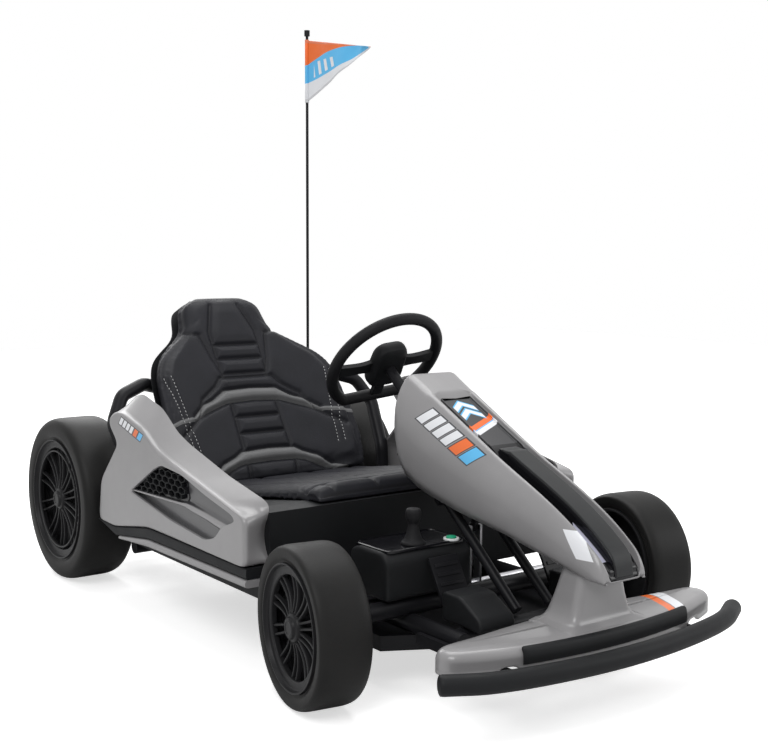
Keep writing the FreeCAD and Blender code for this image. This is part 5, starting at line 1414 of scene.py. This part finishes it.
for name, profile, place, finish, slot, replaced in (
        ("lever_boot", knob, (-136, -334), HANDLE, "dark_plastic", ["drift_lever"]),
        ("button_collar", collar, BUTTON_PLACE, WHITE, "dark_plastic", ()),
        ("button_cap", cap, BUTTON_PLACE, BUTTON, "button_green", ["start_button"])):
    make(name, Form().grid(upright(profile, place), along=True), finish, replaced, 50)

# %% [markdown]
# ### Pedals
# Each pedal is a thin block with four ribs across it, in front of a rounded case.

# %% Pedals
PEDAL_CASE = [(-496, 107), (-492, 124), (-446, 150), (-406, 150), (-406, 107)]
PEDAL_PLATE = [(-404.6, 128), (-368.6, 190), (-364.8, 188), (-400.6, 126)]
cases, plates = Form(), Form()
for sign in (-1, 1):
    left, right = sorted((sign * 74, sign * 140))
    cases.tube(block(PEDAL_CASE, left, right, 5, 8))
    plates.tube(block(PEDAL_PLATE, left + 6, right - 6, 1.2, 1.5))
    for number in range(4):
        rise = 0.2 + 0.2 * number
        y, z = -404.6 + 36 * rise, 128 + 62 * rise
        rib_outline = [(y - 2.6, z - 1.4), (y - 0.2, z + 3.4), (y + 1.4, z + 3.0), (y - 0.8, z - 1.6)]
        plates.tube(block(rib_outline, left + 12, right - 12, 0.8, 0.6))
make("pedal_cases", cases, GRAIN, ["pedal_boxes"], 40)
make("pedal_plates", plates, COAT, ["pedals"], 30)

# %% [markdown]
# ## Pennant
# The pennant is one sheet of nylon, sewn round the pole along its hoist. It ripples a little more
# the further it is from the pole. Its stripes follow the cloth: a share of the height between its
# two edges picks orange, blue or white.


# %% Nylon
HOIST, FLAG_LENGTH = 529.0, 228.0


def flag_share(finish):
    """The share along the flag and the share up it, from the kart's own coordinates."""
    x, y, z = finish.axes()
    along = (HOIST / 1000 - y) / (FLAG_LENGTH / 1000)
    top = 1.094 - along * 0.042
    low = 0.964 + along * 0.088
    return along, (z - low) / (top - low)


def cloth_finish():
    """Three stripes, short bars on the blue one, a darker hem, and a weave of two sine waves."""
    finish = Finish("nylon", PALE)
    along, share = flag_share(finish)
    soft = 0.004
    colour = finish.mix((share + along * 0.1).under(0.3, soft), SKY, PALE)
    colour = finish.mix(1.0 - (share - along * 0.5).under(0.6, soft), colour, ORANGE)
    slant = (along * 9.0 + share * 0.9).fraction()
    patch = stripe(along, 0.1, 0.46) * stripe(share, 0.34, 0.62)
    colour = finish.mix(slant.under(0.42, 0.03) * patch, colour, PALE)
    hem = (share.under(0.045, soft) + (1.0 - share.under(0.955, soft))).least(1.0)
    finish.feed("Base Color", finish.mix(hem * 0.25, colour, (0.3, 0.3, 0.3)))
    finish.feed("Roughness", finish.noise(90.0) * 0.15 + 0.5)
    x, y, z = finish.axes()
    finish.bump((y * 9000.0).sine() * 0.5 + (z * 9000.0).sine() * 0.5, 0.00005)
    return finish


NYLON = cloth_finish()
print(NYLON.material.name, "ready")

# %% [markdown]
# ### Cloth of the pennant
# Two sine waves across the cloth, both growing along it, give the ripple. The sheet is hung on the
# pole by its sleeve, a thin turned tube. Its flat size is the triangle's box, 230 by 130 mm.

# %% Cloth of the pennant
POLE_SIDE, POLE_BACK = 238, 533.3
along = np.linspace(0, 1, 70)[:, None]
share = np.linspace(0, 1, 36)[None]
top, low = 1094 - 42 * along, 964 + 88 * along
ripple = 5.5 * along * np.sin(along * 9.0 + share * 1.3) + 1.8 * along * np.sin(along * 21 - share * 2.0)
z = low + (top - low) * share - 1.2 * np.sin(np.pi * along) * (1 - share)
cloth = Form().grid(xyz(POLE_SIDE + ripple, HOIST - FLAG_LENGTH * along, z))
pennant = make("pennant", cloth, NYLON, ["flag"], 80, outward=False, wall=0.5)
sleeve = rounded([(3.4, 962), (4.6, 962), (4.6, 1096), (3.4, 1096)], 0.3, 3)
make("pennant_sleeve", Form().ring(upright(sleeve, (POLE_SIDE, POLE_BACK), 20)), NYLON)

# %% [markdown]
# ## Nose tip
# The recess opens at the nose's tip, where the flanks end in two horns. A black plug closes the gap
# between them. It is one more block, so it costs only an outline.

# %% Nose tip
TIP = [(-627.5, 197), (-604, 197), (-604, 220), (-617, 216.5), (-627.5, 208)]
make("nose_plug", Form().tube(block(TIP, -28, 28, 3, 4)), GLOSS, angle=40)

# %% [markdown]
# ## Floor
# The kart stands on a plain pale floor, 12 m wide. The camera sees the floor glow a little, so that
# it runs into the white background, while it still catches the kart's shadow.

# %% Floor
FLOOR_HALF, FLOOR_LEVEL = 6000.0, -1.0
ends = np.array([-FLOOR_HALF, FLOOR_HALF])
floor_form = Form().grid(xyz(ends, ends[:, None], FLOOR_LEVEL))
floor_mesh = bpy.data.meshes.new("floor")
floor_mesh.from_pydata((np.vstack(floor_form.points) / 1000).tolist(), [], floor_form.faces)
floor = bpy.data.objects.new("floor", floor_mesh)
bpy.context.scene.collection.objects.link(floor)
ground = Finish("pale_floor", (0.9, 0.9, 0.9), roughness=0.8)
seen = ground.node("ShaderNodeLightPath", out="Is Camera Ray")
ground.feed("Emission Color", ground.mix(seen, (0.0, 0.0, 0.0), (0.62, 0.62, 0.62)))
ground.feed("Emission Strength", 1.0)
floor_mesh.materials.append(ground.material)
print("floor laid")

# %% [markdown]
# ## Light
# Four soft lamps stand around the kart, and a dim pale sky fills the shadows. The camera and
# shiny surfaces see that sky as plain white, so the background is white and not lit by more light.

# %% Light
world = bpy.data.worlds.new("studio")
bpy.context.scene.world = world
world.use_nodes = True
nodes, links = world.node_tree.nodes, world.node_tree.links
skies = []
for strength in (0.34, 1.0):
    sky = nodes.new("ShaderNodeBackground")
    sky.inputs["Color"].default_value = (1.0, 1.0, 1.0, 1.0)
    sky.inputs["Strength"].default_value = strength
    skies.append(sky)
rays = nodes.new("ShaderNodeLightPath")
shown = rays.outputs["Is Camera Ray"]
for kind in ("Is Glossy Ray", "Is Transmission Ray"):
    either = nodes.new("ShaderNodeMath")
    either.operation = "MAXIMUM"
    links.new(shown, either.inputs[0])
    links.new(rays.outputs[kind], either.inputs[1])
    shown = either.outputs[0]
blend = nodes.new("ShaderNodeMixShader")
links.new(shown, blend.inputs["Fac"])
links.new(skies[0].outputs[0], blend.inputs[1])
links.new(skies[1].outputs[0], blend.inputs[2])
links.new(blend.outputs[0], nodes["World Output"].inputs["Surface"])
LAMPS = (("key", (-2.2, -1.6, 2.6), 1.6, 46.0), ("top", (0.3, 0.4, 2.8), 2.0, 44.0),
         ("fill", (2.0, -2.2, 1.6), 1.5, 20.0), ("back", (0.6, 2.6, 1.8), 1.6, 22.0))
for name, place, width, power in LAMPS:
    lamp = bpy.data.objects.new(name, bpy.data.lights.new(name, "AREA"))
    lamp.data.size = width
    lamp.data.energy = power
    lamp.location = place
    aim = Vector((0.0, 0.0, 0.25)) - Vector(place)
    lamp.rotation_euler = aim.to_track_quat("-Z", "Y").to_euler()
    bpy.context.scene.collection.objects.link(lamp)
bpy.context.scene.view_settings.view_transform = "Standard"
print(len(LAMPS), "lamps")
